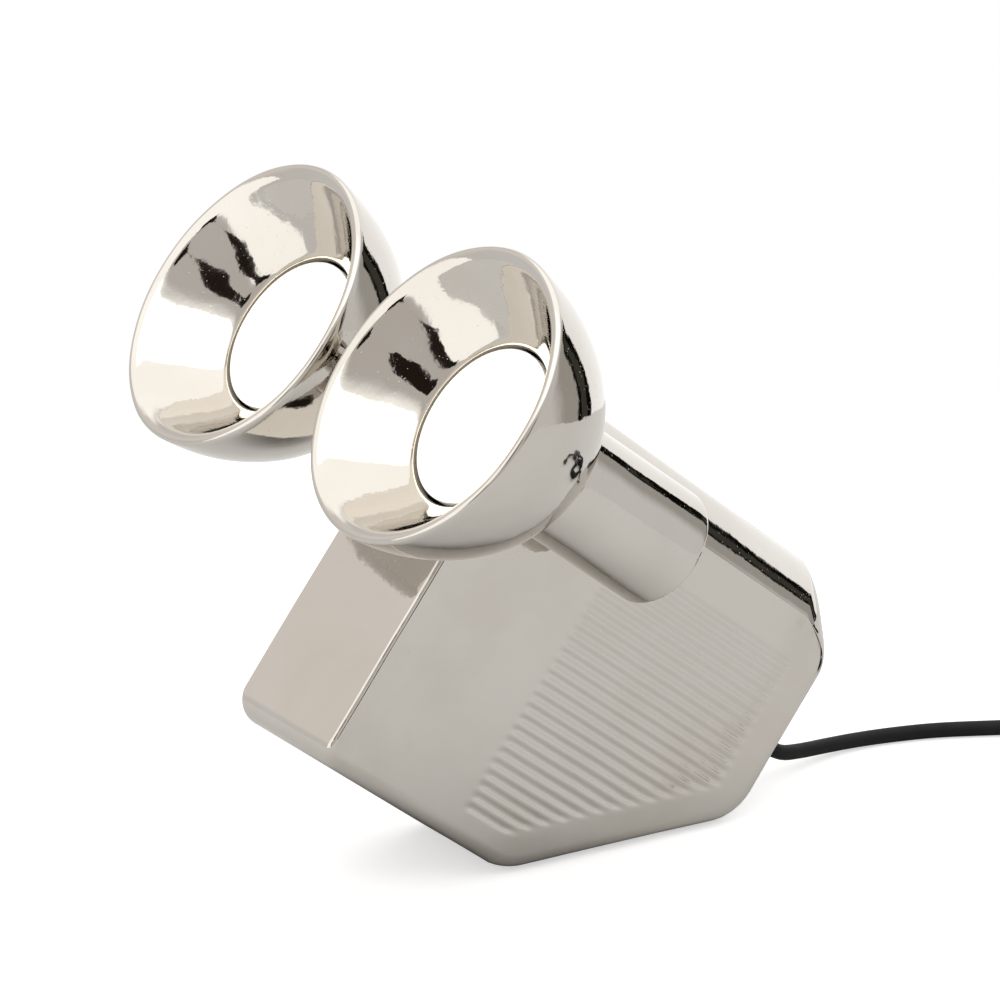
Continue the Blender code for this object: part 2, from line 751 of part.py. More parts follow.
def make_base(stand):
    """Base plate, clamp bars, ballast, terminal block and their screws."""
    middle, length = plate_span()
    top = PLATE_SUNK + PLATE_THICKNESS
    plate = piece(
        "base_plate",
        prism(rectangle(length, PLATE_WIDTH, PLATE_LAP), PLATE_SUNK, top),
        "black_steel",
        stand,
        (middle, 0.0, 0.0),
    )
    holes = [(x, SCREW_RADIUS) for x in bar_places()] + [(middle, BALLAST_SCREW_RADIUS)]
    for x, radius in holes:
        hole = turned_rod(radius + SCREW_CLEARANCE, PLATE_SUNK - OVERRUN, top + OVERRUN, NUT_SIDES)
        cut(plate, cutter("plate_hole", hole, stand, (x, 0.0, 0.0)))
    bar_low = CASE_WALL + GAP
    bar_top = bar_low + BAR_THICKNESS
    for end, x in zip(("front", "rear"), bar_places()):
        flat = prism(rectangle(BAR_WIDTH, BAR_LENGTH, BALLAST_EDGE), bar_low, bar_top)
        bar = piece("clamp_bar_" + end, flat, "steel", stand, (x, 0.0, 0.0))
        hole = turned_rod(SCREW_RADIUS + SCREW_CLEARANCE, bar_low - OVERRUN, bar_top + OVERRUN, NUT_SIDES)
        cut(bar, cutter("bar_hole", hole, stand, (x, 0.0, 0.0)))
        screw("plate_screw_" + end, SCREW_RADIUS, SCREW_HEAD_RADIUS, bar_top + SCREW_TIP, stand, x)
    ballast_low = top + GAP
    ballast_top = ballast_low + BALLAST_HEIGHT
    slug = edged_prism(
        lambda inset: rectangle(BALLAST_LENGTH - 2 * inset, BALLAST_WIDTH - 2 * inset, BALLAST_EDGE),
        ballast_low,
        ballast_top,
        BALLAST_EDGE,
    )
    ballast = piece("ballast", slug, "steel", stand, (middle, 0.0, 0.0))
    depth = ballast_low + BALLAST_SCREW_REACH + SCREW_TIP
    hole = turned_rod(BALLAST_SCREW_RADIUS + SCREW_CLEARANCE, ballast_low - OVERRUN, depth, NUT_SIDES)
    cut(ballast, cutter("ballast_hole", hole, stand, (middle, 0.0, 0.0)))
    tip = ballast_low + BALLAST_SCREW_REACH
    screw("ballast_screw", BALLAST_SCREW_RADIUS, BALLAST_SCREW_HEAD_RADIUS, tip, stand, middle)
    block_low = ballast_top + GAP
    terminal = edged_prism(
        lambda inset: rectangle(TERMINAL_LENGTH - 2 * inset, TERMINAL_WIDTH - 2 * inset, TERMINAL_EDGE),
        block_low,
        block_low + TERMINAL_HEIGHT,
        TERMINAL_EDGE,
    )
    piece("terminal_block", terminal, "white_plastic", stand, (middle, 0.0, 0.0))
    return Vector((middle + middle_offset(), 0.0, STAND_HEIGHT + block_low + TERMINAL_HEIGHT / 2))


# Strain relief


def cord_exit():
    """The cord hole's middle on the rear face, in the case's own frame."""
    return (CASE_LENGTH, 0.0, CHAMFER_RISE + CORD_EXIT_HEIGHT)


def make_strain_relief(case):
    turn = (0.0, math.pi / 2, 0.0)
    profile = [
        (0.0, -BARREL_LENGTH),
        (BARREL_RADIUS, -BARREL_LENGTH),
        (BARREL_RADIUS, GAP),
        (FLANGE_RADIUS, GAP),
        (FLANGE_RADIUS, FLANGE_THICKNESS),
        (RELIEF_START_RADIUS, FLANGE_THICKNESS + GAP),
        (RELIEF_END_RADIUS, RELIEF_LENGTH),
        (0.0, RELIEF_LENGTH),
    ]
    piece("cord_bushing", turned(profile, NUT_SIDES), "black_rubber", case, cord_exit(), turn)
    ring = sleeve(
        hexagon(GLAND_NUT_FLATS, NUT_SIDES),
        circle(BARREL_RADIUS + GAP, NUT_SIDES),
        -CASE_WALL - GAP - NUT_THICKNESS,
        -CASE_WALL - GAP,
    )
    piece("bushing_nut", ring, "steel", case, cord_exit(), turn)


# Heads


def make_shade(side_name, head):
    piece(side_name + "_shade", turned(bowl_profile(), BOWL_SIDES), "platinum_glaze", head)


def make_housing(side_name, side, head):
    """The cup behind the bowl, closed at the rear, with a bore for the neck tube."""
    front = BOWL_BACK - GAP
    inner = HOUSING_RADIUS - HOUSING_WALL
    corner = HOUSING_EDGE * (1 - math.sqrt(0.5))
    profile = [
        (0.0, -HOUSING_BEHIND),
        (HOUSING_RADIUS - HOUSING_EDGE, -HOUSING_BEHIND),
        (HOUSING_RADIUS - corner, -HOUSING_BEHIND + corner),
        (HOUSING_RADIUS, -HOUSING_BEHIND + HOUSING_EDGE),
        (HOUSING_RADIUS, front - HOUSING_LIP),
        (HOUSING_RADIUS - HOUSING_LIP, front),
        (inner, front),
        (inner, -HOUSING_BEHIND + HOUSING_WALL),
        (0.0, -HOUSING_BEHIND + HOUSING_WALL),
    ]
    shell = piece(side_name + "_housing", turned(profile, HOUSING_SIDES), "platinum_glaze", head)
    bore = turned_rod(BORE_RADIUS, inner - HOUSING_WALL, HOUSING_RADIUS + OVERRUN, NUT_SIDES)
    cut(shell, cutter("housing_bore", bore, head, turn=towards_case(side)))


def towards_case(side):
    """Turns Z from the head's axis towards the case."""
    return (side * math.pi / 2, 0.0, 0.0)


def make_neck(side_name, side, head):
    """Neck, washer, threaded tube and the two nuts that make the swivel."""
    turn = towards_case(side)
    face = head_distance() - CASE_WIDTH / 2
    washer_low = face - GAP - WASHER_THICKNESS
    neck_top = washer_low - GAP
    bore = circle(BORE_RADIUS, NECK_SIDES)
    body = sleeve(circle(NECK_RADIUS, NECK_SIDES), bore, HOUSING_RADIUS - HOUSING_WALL, neck_top)
    neck = piece(side_name + "_neck", body, "platinum_glaze", head, turn=turn)
    saddle = turned_rod(HOUSING_RADIUS + GAP, -BOWL_DEPTH, BOWL_DEPTH, HOUSING_SIDES)
    cut(neck, cutter("neck_saddle", saddle, head))
    washer = sleeve(circle(WASHER_RADIUS, NECK_SIDES), bore, washer_low, washer_low + WASHER_THICKNESS)
    piece(side_name + "_friction_washer", washer, "grey_fibre", head, turn=turn)
    tube_low = bracket_near() - GAP - NUT_THICKNESS - TUBE_PROUD
    nut_low = face + CASE_WALL + GAP
    tube_high = nut_low + NUT_THICKNESS + TUBE_PROUD
    rod = sleeve(circle(TUBE_RADIUS, NUT_SIDES), circle(TUBE_BORE, NUT_SIDES), tube_low, tube_high)
    piece(side_name + "_neck_tube", rod, "steel", head, turn=turn)
    nut(side_name + "_housing_nut", bracket_near() - GAP - NUT_THICKNESS, head, turn)
    nut(side_name + "_body_nut", nut_low, head, turn)
    return tube_high


def nut(name, low, head, turn=(0, 0, 0)):
    ring = sleeve(hexagon(NUT_FLATS, NUT_SIDES), circle(BORE_RADIUS, NUT_SIDES), low, low + NUT_THICKNESS)
    piece(name, ring, "steel", head, turn=turn)


def bracket_far():
    """The bracket leg's outer face: its long edges rest on the housing's inner wall."""
    inner = HOUSING_RADIUS - HOUSING_WALL - GAP
    return math.sqrt(inner**2 - (BRACKET_WIDTH / 2) ** 2)


def bracket_near():
    return bracket_far() - BRACKET_THICKNESS


def make_bracket(side_name, side, head):
    """An angle plate: one leg on the housing's wall, the other across the head's axis behind the bowl."""
    far, near = bracket_far(), bracket_near()
    outline = [
        (-BRACKET_BEHIND, far),
        (-BRACKET_BEHIND, near),
        (BRACKET_AHEAD - BRACKET_THICKNESS, near),
        (BRACKET_AHEAD - BRACKET_THICKNESS, -BRACKET_PAST_AXIS),
        (BRACKET_AHEAD, -BRACKET_PAST_AXIS),
        (BRACKET_AHEAD, far),
    ]
    half = BRACKET_WIDTH / 2
    loops = [[(x, -side * out, ahead) for ahead, out in outline] for x in (-half, half)]
    plate = piece(side_name + "_head_bracket", lofted(loops), "steel", head)
    wall_hole = turned_rod(BORE_RADIUS, near - OVERRUN, far + OVERRUN, NUT_SIDES)
    cut(plate, cutter("bracket_wall_hole", wall_hole, head, turn=towards_case(side)))
    low = BRACKET_AHEAD - BRACKET_THICKNESS - OVERRUN
    cut(plate, cutter("bracket_hole", turned_rod(BORE_RADIUS, low, BRACKET_AHEAD + OVERRUN, NUT_SIDES), head))


def holder_front():
    return BOWL_BACK + LAMP_FROM_BACK - LAMP_DEPTH - GAP


def make_stem(side_name, head):
    """The threaded tube that holds lampholder, bowl and bracket together; gives where its front end is."""
    rear_nut = BRACKET_AHEAD - BRACKET_THICKNESS - GAP - NUT_THICKNESS
    high = holder_front() - HOLDER_DEPTH + HOLDER_FLOOR - GAP
    rod = sleeve(circle(TUBE_RADIUS, NUT_SIDES), circle(TUBE_BORE, NUT_SIDES), rear_nut - TUBE_PROUD, high)
    piece(side_name + "_stem_tube", rod, "steel", head)
    nut(side_name + "_stem_nut_rear", rear_nut, head)
    nut(side_name + "_stem_nut_front", BOWL_BACK + BOWL_WALL + GAP, head)
    return high


def make_lampholder(side_name, head):
    front = holder_front()
    back = front - HOLDER_DEPTH
    well = LAMP_HUB_RADIUS + HUB_CLEARANCE
    profile = [
        (BORE_RADIUS, back - COLLAR_LENGTH),
        (COLLAR_RADIUS, back - COLLAR_LENGTH),
        (COLLAR_RADIUS, back),
        (HOLDER_RADIUS - HOLDER_EDGE, back),
        (HOLDER_RADIUS, back + HOLDER_EDGE),
        (HOLDER_RADIUS, front),
        (well, front),
        (well, back + HOLDER_FLOOR),
        (BORE_RADIUS, back + HOLDER_FLOOR),
    ]
    holder = piece(side_name + "_lampholder", turned(profile, LAMP_SIDES), "white_plastic", head)
    reach = PIN_RADIUS + GAP
    spare = math.asin(reach / PIN_FROM_AXIS)
    for start in (0.0, math.pi):
        turn = LAMP_TWIST + 2 * spare
        angles = [start - spare + turn * i / PIN_SLOT_STEPS for i in range(PIN_SLOT_STEPS + 1)]
        near, far = PIN_FROM_AXIS - reach, PIN_FROM_AXIS + reach
        inner = [(near * math.cos(angle), near * math.sin(angle)) for angle in angles]
        outer = [(far * math.cos(angle), far * math.sin(angle)) for angle in angles]
        slot = prism(inner + outer[::-1], front - PIN_LENGTH - GAP - OVERRUN, front + OVERRUN)
        cut(holder, cutter("pin_slot", slot, head))


def make_lamp(side_name, head):
    """Flat round lamp module with two pins behind it, and its opal front."""
    lamp = frame(side_name + "_lamp_axis", (0.0, 0.0, 0.0), parent=head)
    front = BOWL_BACK + LAMP_FROM_BACK
    back = front - LAMP_DEPTH
    seat = front - DIFFUSER_DEPTH - GAP
    profile = [
        (0.0, back - LAMP_HUB_DEPTH + GAP),
        (LAMP_HUB_RADIUS, back - LAMP_HUB_DEPTH + GAP),
        (LAMP_HUB_RADIUS, back),
        (LAMP_RADIUS - LAMP_EDGE, back),
        (LAMP_RADIUS, back + LAMP_EDGE),
        (LAMP_RADIUS, front),
        (LAMP_RADIUS - LAMP_RIM_WALL, front),
        (LAMP_RADIUS - LAMP_RIM_WALL, seat),
        (0.0, seat),
    ]
    body = piece(side_name + "_lamp_body", turned(profile, LAMP_SIDES), "white_plastic", lamp)
    for x in (-PIN_FROM_AXIS, PIN_FROM_AXIS):
        pin = turned_rod(PIN_RADIUS, back - PIN_LENGTH, back + OVERRUN, NUT_SIDES)
        combine(body, "UNION", cutter("lamp_pin", pin, lamp, (x, 0.0, 0.0)))
    edge = LAMP_RADIUS - LAMP_RIM_WALL - GAP
    disc = [
        (0.0, seat + GAP),
        (edge, seat + GAP),
        (edge, front - GAP),
        (edge / 2, front + DIFFUSER_CROWN / 2),
        (0.0, front + DIFFUSER_CROWN),
    ]
    piece(side_name + "_diffuser", turned(disc, LAMP_SIDES), "opal", lamp)


def make_leads(side_name, side, head_at, stem_high, tube_high, terminal):
    """The mains lead inside one head, and its next stretch inside the case."""
    ahead = -ALONG
    inwards = Vector((0.0, -side, 0.0))
    corner = LEAD_BEND * LEAD_CORNER_SHARE
    inner_end = tube_high + LEAD_PAST_TUBE
    route = [
        head_at + ahead * (stem_high - LEAD_PAST_TUBE),
        head_at + ahead * (LEAD_BEND_AHEAD + LEAD_BEND),
        head_at + ahead * LEAD_BEND_AHEAD,
        head_at + ahead * LEAD_BEND,
        head_at + (ahead + inwards) * corner,
        head_at + inwards * LEAD_BEND,
        head_at + inwards * (LEAD_BEND + tube_high) / 2,
        head_at + inwards * inner_end,
    ]
    lead = smooth_route(route, LEAD_POINT_SPACING)
    tube(side_name + "_head_lead", lead, LEAD_RADIUS, "black_plastic", 1)
    leave = head_at + inwards * (inner_end + GAP)
    arrive = terminal + Vector((-TERMINAL_LENGTH / 2 - GAP, side * LEAD_SPACING, 0.0))
    back = Vector((-1.0, 0.0, 0.0))
    down = Vector((0.0, 0.0, -1.0))
    route = [
        leave,
        leave + inwards * LEAD_STRAIGHT,
        leave + inwards * LEAD_STRAIGHT * 2,
        leave + (inwards + down) * LEAD_BEND,
        (leave + arrive) / 2 + down * LEAD_BEND,
        arrive + (back - down * LEAD_RISE_SHARE) * LEAD_BEND,
        arrive + back * LEAD_STRAIGHT * 2,
        arrive + back * LEAD_STRAIGHT,
        arrive,
    ]
    tube("case_lead_" + side_name, smooth_route(route, CORD_SPACING), LEAD_RADIUS, "black_plastic", 1)


def make_supply_lead(case_at, terminal):
    """From the strain relief's inner end to the terminal block."""
    length, _, height = cord_exit()
    gland = case_at + ALONG * (length - BARREL_LENGTH - GAP) + ACROSS * height
    arrive = terminal + Vector((TERMINAL_LENGTH / 2 + GAP, 0.0, 0.0))
    route = [
        gland,
        gland - ALONG * LEAD_STRAIGHT,
        gland - ALONG * LEAD_STRAIGHT * 2,
        (gland + arrive) / 2 + Vector((0.0, 0.0, LEAD_STRAIGHT)),
        arrive + Vector((LEAD_STRAIGHT * 2, 0.0, 0.0)),
        arrive + Vector((LEAD_STRAIGHT, 0.0, 0.0)),
        arrive,
    ]
    tube("supply_lead", smooth_route(route, LEAD_POINT_SPACING), LEAD_RADIUS, "black_plastic", 1)


# Cord, coil and tie


def coil_points():
    """The cord wound in to the middle and out again one layer higher, with straight ends."""
    points = []
    last = round(2 * LAYER_TURNS * POINTS_PER_TURN)
    inner = COIL_OUTER - COIL_PITCH * LAYER_TURNS
    base = COIL_LIFT + CORD_RADIUS
    for i in range(last + 1):
        turns = i / POINTS_PER_TURN
        past = turns - LAYER_TURNS
        share = min(max(past / CLIMB_TURNS + 0.5, 0.0), 1.0)
        climb = (1 - math.cos(math.pi * share)) / 2
        radius = inner + COIL_PITCH * abs(past)
        angle = COIL_START - 2 * math.pi * turns
        height = base + LAYER_HEIGHT * climb
        points.append(COIL_CENTRE + Vector((radius * math.cos(angle), radius * math.sin(angle), height)))
    across = Vector((math.sin(COIL_START), -math.cos(COIL_START), 0.0))
    outwards = Vector((math.cos(COIL_START), math.sin(COIL_START), 0.0))
    drift = outwards * COIL_PITCH / (2 * math.pi * COIL_OUTER)
    points.insert(0, points[0] - (across - drift).normalized() * 2 * CORD_RADIUS)
    points.append(points[-1] + (across + drift).normalized() * 2 * CORD_RADIUS)
    return points


def least_gap(points, radius):
    """The smallest clear distance between stretches of one tube that aren't next to each other."""
    line = np.array([list(point) for point in points])
    shares = np.arange(GAP_SAMPLES) / GAP_SAMPLES
    fine = np.concatenate([line[:-1] + (line[1:] - line[:-1]) * share for share in shares])
    order = np.concatenate([np.arange(len(line) - 1) + share for share in shares])
    apart = np.linalg.norm(fine[:, None] - fine[None], axis=2)
    neighbours = np.abs(order[:, None] - order[None]) < POINTS_PER_TURN / 3
    return float(apart[~neighbours].min()) - 2 * radius


def make_coil():
    points = coil_points()
    tube("cord_coil", points, CORD_RADIUS, "black_rubber", COIL_RESOLUTION)
    print(f"cord_coil least gap to itself: {1000 * least_gap(points, CORD_RADIUS):.2f} mm")
    heading = Vector((math.cos(TIE_ANGLE), math.sin(TIE_ANGLE), 0.0))
    flat = [(point - COIL_CENTRE).to_2d() for point in points]
    near = [place.length for place in flat if place.angle(heading.to_2d()) < TIE_SECTOR]
    inside = min(near) - CORD_RADIUS - GAP - TIE_THICKNESS
    outside = max(near) + CORD_RADIUS + GAP
    top = COIL_LIFT + 2 * CORD_RADIUS + LAYER_HEIGHT + GAP
    outer = [
        (inside - TIE_THICKNESS, 0.0),
        (outside + TIE_THICKNESS, 0.0),
        (outside + TIE_THICKNESS, top + TIE_THICKNESS),
        (inside - TIE_THICKNESS, top + TIE_THICKNESS),
    ]
    inner = [(inside, TIE_THICKNESS), (outside, TIE_THICKNESS), (outside, top), (inside, top)]
    band = sleeve(outer, inner, -TIE_WIDTH / 2, TIE_WIDTH / 2)
    piece("coil_tie", band, "black_plastic", None, COIL_CENTRE, (math.pi / 2, 0.0, TIE_ANGLE))


def make_cord():
    for name, route in (("cord_lead", LEAD_ROUTE), ("cord_link", LINK_ROUTE), ("cord_tail", TAIL_ROUTE)):
        tube(name, smooth_route(route, CORD_SPACING), CORD_RADIUS, "black_rubber", CORD_RESOLUTION)


# Switch


def switch_outline(inset):
    """A pill with narrower ends where the cord enters, drawn in by inset."""
    half, wide, narrow = [size / 2 - inset for size in (SWITCH_LENGTH, SWITCH_WIDTH, SWITCH_END_WIDTH)]
    shoulder = half - SWITCH_END_LENGTH
    quarter = [(half, narrow), (shoulder + SWITCH_CORNER, wide - SWITCH_CORNER / 2), (shoulder, wide)]
    left = [(-x, y) for x, y in reversed(quarter)]
    return quarter + left + [(-x, -y) for x, y in quarter] + [(-x, -y) for x, y in left]


def make_switch():
    switch = frame("switch_frame", SWITCH_AT, (0.0, 0.0, math.pi / 2))
    low = edged_prism(switch_outline, 0.0, SWITCH_BASE_HEIGHT, SWITCH_EDGE)
    base = piece("switch_base", low, "black_plastic", switch)
    cover_low = SWITCH_BASE_HEIGHT + GAP
    cover_top = cover_low + SWITCH_COVER_HEIGHT
    high = edged_prism(switch_outline, cover_low, cover_top, SWITCH_EDGE)
    cover = piece("switch_cover", high, "black_plastic", switch)
    x, y = ROCKER_LENGTH / 2 + WINDOW_CLEARANCE, ROCKER_WIDTH / 2 + ROCKER_SIDE_GAP
    well = block((-x, -y, ROCKER_WELL_FLOOR), (x, y, cover_top + OVERRUN))
    well = cutter("rocker_well", well, switch)
    pin_half = ROCKER_WIDTH / 2 + ROCKER_PIN_LENGTH
    turn = (math.pi / 2, 0.0, 0.0)
    hole = turned_rod(ROCKER_PIN_RADIUS + GAP, -pin_half - GAP, pin_half + GAP, NUT_SIDES)
    hole = cutter("rocker_pin_holes", hole, switch, (0.0, 0.0, ROCKER_PIVOT), turn)
    cut(base, well)
    cut(cover, well, hole)
    make_rocker(switch, pin_half)


def make_rocker(switch, pin_half):
    """The rocker on its own pin, pressed down at one end."""
    axis = frame("rocker_axis", (0.0, 0.0, ROCKER_PIVOT), (0.0, ROCKER_TILT, 0.0), switch)
    half = ROCKER_LENGTH / 2
    end = ROCKER_RISE + half * math.tan(ROCKER_TILT)
    outline = [
        (-half * ROCKER_FOOT_SHARE, -ROCKER_DROP),
        (half * ROCKER_FOOT_SHARE, -ROCKER_DROP),
        (half, 0.0),
        (half, end),
        (0.0, ROCKER_RISE),
        (-half, end),
        (-half, 0.0),
    ]
    loops = [[(x, y, z) for x, z in outline] for y in (-ROCKER_WIDTH / 2, ROCKER_WIDTH / 2)]
    rocker = piece("switch_rocker", lofted(loops), "black_plastic", axis)
    pin = turned_rod(ROCKER_PIN_RADIUS, -pin_half, pin_half, NUT_SIDES)
    combine(rocker, "UNION", cutter("rocker_pin", pin, axis, turn=(math.pi / 2, 0.0, 0.0)))


# Plug


def plug_outline(inset):
    """Narrow at the cord, wide at the pins, seen from above; the pins face -X."""
    neck, wide = PLUG_NECK_WIDTH / 2 - inset, PLUG_WIDTH / 2 - inset
    start, full = [PLUG_LENGTH * share for share in PLUG_SHOULDER_SHARES]
    upper = [(-inset, neck), (-start, neck), (-full, wide), (inset - PLUG_LENGTH, wide)]
    return upper + [(x, -y) for x, y in reversed(upper)]


def make_plug():
    plug = frame("plug_frame", PLUG_AT)
    shape = edged_prism(plug_outline, 0.0, PLUG_THICKNESS, PLUG_EDGE)
    body = piece("plug_body", shape, "black_plastic", plug)
    for number, y in enumerate((-PLUG_PIN_SPACING / 2, PLUG_PIN_SPACING / 2), 1):
        at = (-PLUG_LENGTH, y, PLUG_THICKNESS / 2)
        turn = (0.0, -math.pi / 2, 0.0)
        rod = turned_rod(PLUG_PIN_RADIUS, GAP - PLUG_PIN_SUNK, PLUG_PIN_LENGTH, NUT_SIDES)
        piece(f"plug_pin_{number}", rod, "brass", plug, at, turn)
        socket = turned_rod(PLUG_PIN_RADIUS + GAP, -PLUG_PIN_SUNK, OVERRUN, NUT_SIDES)
        cut(body, cutter("pin_socket", socket, plug, at, turn))


def main():
    for old in list(bpy.data.objects):
        bpy.data.objects.remove(old, do_unlink=True)
    stand = stand_frame()
    case = case_frame()
    make_case(case, stand)
    make_feet(stand)
    terminal = make_base(stand)
    make_strain_relief(case)
    pivot = case.location + ALONG * PIVOT_FROM_FRONT + ACROSS * (CASE_HEIGHT - PIVOT_FROM_TOP)
    for side_name, side in (("left", -1), ("right", 1)):
        head = head_frame(side_name, side, case)
        make_shade(side_name, head)
        make_housing(side_name, side, head)
        make_bracket(side_name, side, head)
        tube_high = make_neck(side_name, side, head)
        stem_high = make_stem(side_name, head)
        make_lampholder(side_name, head)
        make_lamp(side_name, head)
        head_at = pivot + Vector((0.0, side * head_distance(), 0.0))
        make_leads(side_name, side, head_at, stem_high, tube_high, terminal)
    make_supply_lead(case.location, terminal)
    make_coil()
    make_cord()
    make_switch()
    make_plug()


main()
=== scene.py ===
"""Looks of the table lamp: mirror-glazed case and bowls, lit lamps, black cord with coil, switch and plug."""

import json
import math

import bmesh
import bpy
import numpy as np
from mathutils import Matrix, Vector


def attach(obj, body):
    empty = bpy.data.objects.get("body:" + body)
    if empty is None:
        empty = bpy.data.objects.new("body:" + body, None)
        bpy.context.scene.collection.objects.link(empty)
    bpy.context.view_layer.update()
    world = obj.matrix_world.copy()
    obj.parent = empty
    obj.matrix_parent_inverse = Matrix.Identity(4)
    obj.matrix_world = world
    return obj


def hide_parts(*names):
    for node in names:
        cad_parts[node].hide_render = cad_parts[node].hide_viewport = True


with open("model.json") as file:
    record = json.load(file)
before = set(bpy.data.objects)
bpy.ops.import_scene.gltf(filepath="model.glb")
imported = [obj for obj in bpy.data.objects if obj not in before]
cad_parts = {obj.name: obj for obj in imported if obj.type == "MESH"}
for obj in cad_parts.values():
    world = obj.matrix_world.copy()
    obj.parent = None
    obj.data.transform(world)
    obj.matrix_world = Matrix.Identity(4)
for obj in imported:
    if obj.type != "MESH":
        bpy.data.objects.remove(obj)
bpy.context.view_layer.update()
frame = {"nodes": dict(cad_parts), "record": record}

TURN = 2 * math.pi

# Case, as in the CAD source
CASE_LENGTH, CASE_HEIGHT, CASE_WIDTH = 0.2325, 0.196, 0.078
CASE_WALL = 0.005
CORNER_STEPS, ROW_STEP, CURVE_STEP = 60, 0.00065, 0.0014
COLUMNS, FILLET_STEPS, WIDTH_STEPS = 150, 14, 36
PLATE_AHEAD, PLATE_LENGTH, PLATE_WIDTH, PLATE_PLAY, REBATE_DEPTH = 0.0667, 0.0830, 0.052, 0.0006, 0.0021
CASE_UNEVENNESS, CASE_WAVE = 0.00010, 0.055
SMOOTH_BELOW = math.radians(35)
CHAMFER_RUN, CHAMFER_RISE = 0.107, 0.079
CORNER_ROUNDS = [0.012, 0.035, 0.0275, 0.039, 0.014]
EDGE_FILLETS = [0.007, 0.007, 0.007, 0.012, 0.0025]
LEAST_FILLET = 0.001
ARCH_REACH, ARCH_POWER, ARCH_FADE, ARCH_RISE = 0.025, 1.333, 0.016, 0.0045
CASE_FOOT = Vector((-0.036475, 0.0, 0.0018))
PIVOT_FROM_FRONT, PIVOT_FROM_TOP = 0.0375, 0.036
HEAD_DISTANCE = 0.07885
TILT = math.atan2(CHAMFER_RISE, CHAMFER_RUN)
ALONG = Vector((math.cos(TILT), 0.0, -math.sin(TILT)))
ACROSS = Vector((math.sin(TILT), 0.0, math.cos(TILT)))
CHAMFER_LENGTH = math.hypot(CHAMFER_RUN, CHAMFER_RISE)
CASE_ORIGIN = CASE_FOOT - ALONG * (CASE_LENGTH - CHAMFER_RUN)
CASE_SPACE = Matrix.Translation(CASE_ORIGIN) @ Matrix.Rotation(TILT, 4, "Y")
PIVOT = CASE_ORIGIN + ALONG * PIVOT_FROM_FRONT + ACROSS * (CASE_HEIGHT - PIVOT_FROM_TOP)

# Rib field in both side faces
RIB_PITCH = 0.00585
RIB_DEPTH = 0.0007
RIBS_FROM_FRONT, RIBS_FROM_REAR = 0.083, 0.0205
RIBS_FROM_TOP, RIBS_FROM_BOTTOM = 0.044, 0.0145
RIBS_FROM_CHAMFER = 0.0174
RIB_RAMP = 0.006

# Bowl, lamp, housing and neck, in distances ahead of the tilt axis
BOWL_BACK, BOWL_RIM = 0.045, 0.120
RIM_RADIUS, BACK_RADIUS = 0.0718, 0.0274
BOWL_CENTRE_AHEAD = 0.00625
BOWL_WALL, BOWL_LIP = 0.004, 0.0047
THROAT_RADIUS = 0.0387
CONE_HOLLOW = 0.0011
HOLLOW_END = (0.0650, 0.1106)
BOWL_SIDES, ROUND_SIDES = 160, 128
LAMP_FRONT, LAMP_BACK = 0.0875, 0.073
LAMP_RADIUS, LAMP_HUB_RADIUS, LAMP_HUB_DEPTH = 0.0375, 0.020, 0.0067
HOUSING_RADIUS, HOUSING_WALL = 0.02825, 0.004
HOUSING_BEHIND, HOUSING_AHEAD = 0.0353, 0.0447
BORE_RADIUS, BORE_SIDES = 0.0053, 32
NECK_RADIUS = 0.013

# Cord
CORD_RADIUS, CORD_HOLE_RADIUS = 0.00375, 0.0063
CORD_EXIT = (CASE_LENGTH, 0.0, CHAMFER_RISE + 0.038)
LEAD_ROUTE = [
    (0.1355, 0.0000, 0.0203),
    (0.1407, 0.0000, 0.01645),
    (0.1495, 0.0010, 0.0115),
    (0.1637, 0.0050, 0.0082),
    (0.1836, 0.0098, 0.0055),
    (0.2051, 0.0109, 0.0042),
    (0.2263, 0.0080, 0.0038),
    (0.2476, 0.0019, 0.0038),
    (0.2754, -0.0104, 0.0038),
    (0.3047, -0.0255, 0.0042),
    (0.3332, -0.0428, 0.0051),
]
LINK_ROUTE = [
    (0.3460, -0.0517, 0.0132),
    (0.3607, -0.0620, 0.0128),
    (0.3752, -0.0775, 0.0112),
    (0.3835, -0.0950, 0.0101),
    (0.3852, -0.1120, 0.0100),
]
TAIL_ROUTE = [
    (0.3852, -0.1826, 0.0100),
    (0.3842, -0.1975, 0.0097),
    (0.3772, -0.2120, 0.0084),
    (0.3632, -0.2215, 0.0072),
    (0.3457, -0.2240, 0.00685),
]
COIL_CENTRE = Vector((0.3097, -0.090, 0.0))
COIL_OUTER, COIL_PITCH, COIL_LIFT = 0.052, 0.0081, 0.0013
LAYER_TURNS, CLIMB_TURNS = 2.5, 0.5
COIL_START = math.radians(55)
POINTS_PER_TURN = 48
ROUTE_STEP = 0.004

# Camera, from the fit to the photograph's outlines
CAMERA_AT = (-1.314356, -1.904845, 0.931499)
CAMERA_AZIMUTH, CAMERA_ELEVATION, CAMERA_ROLL = map(math.radians, (34.234, 18.347, 1.369))
CAMERA_LENS, SENSOR = 192.237, 36.0


# Camera and cord


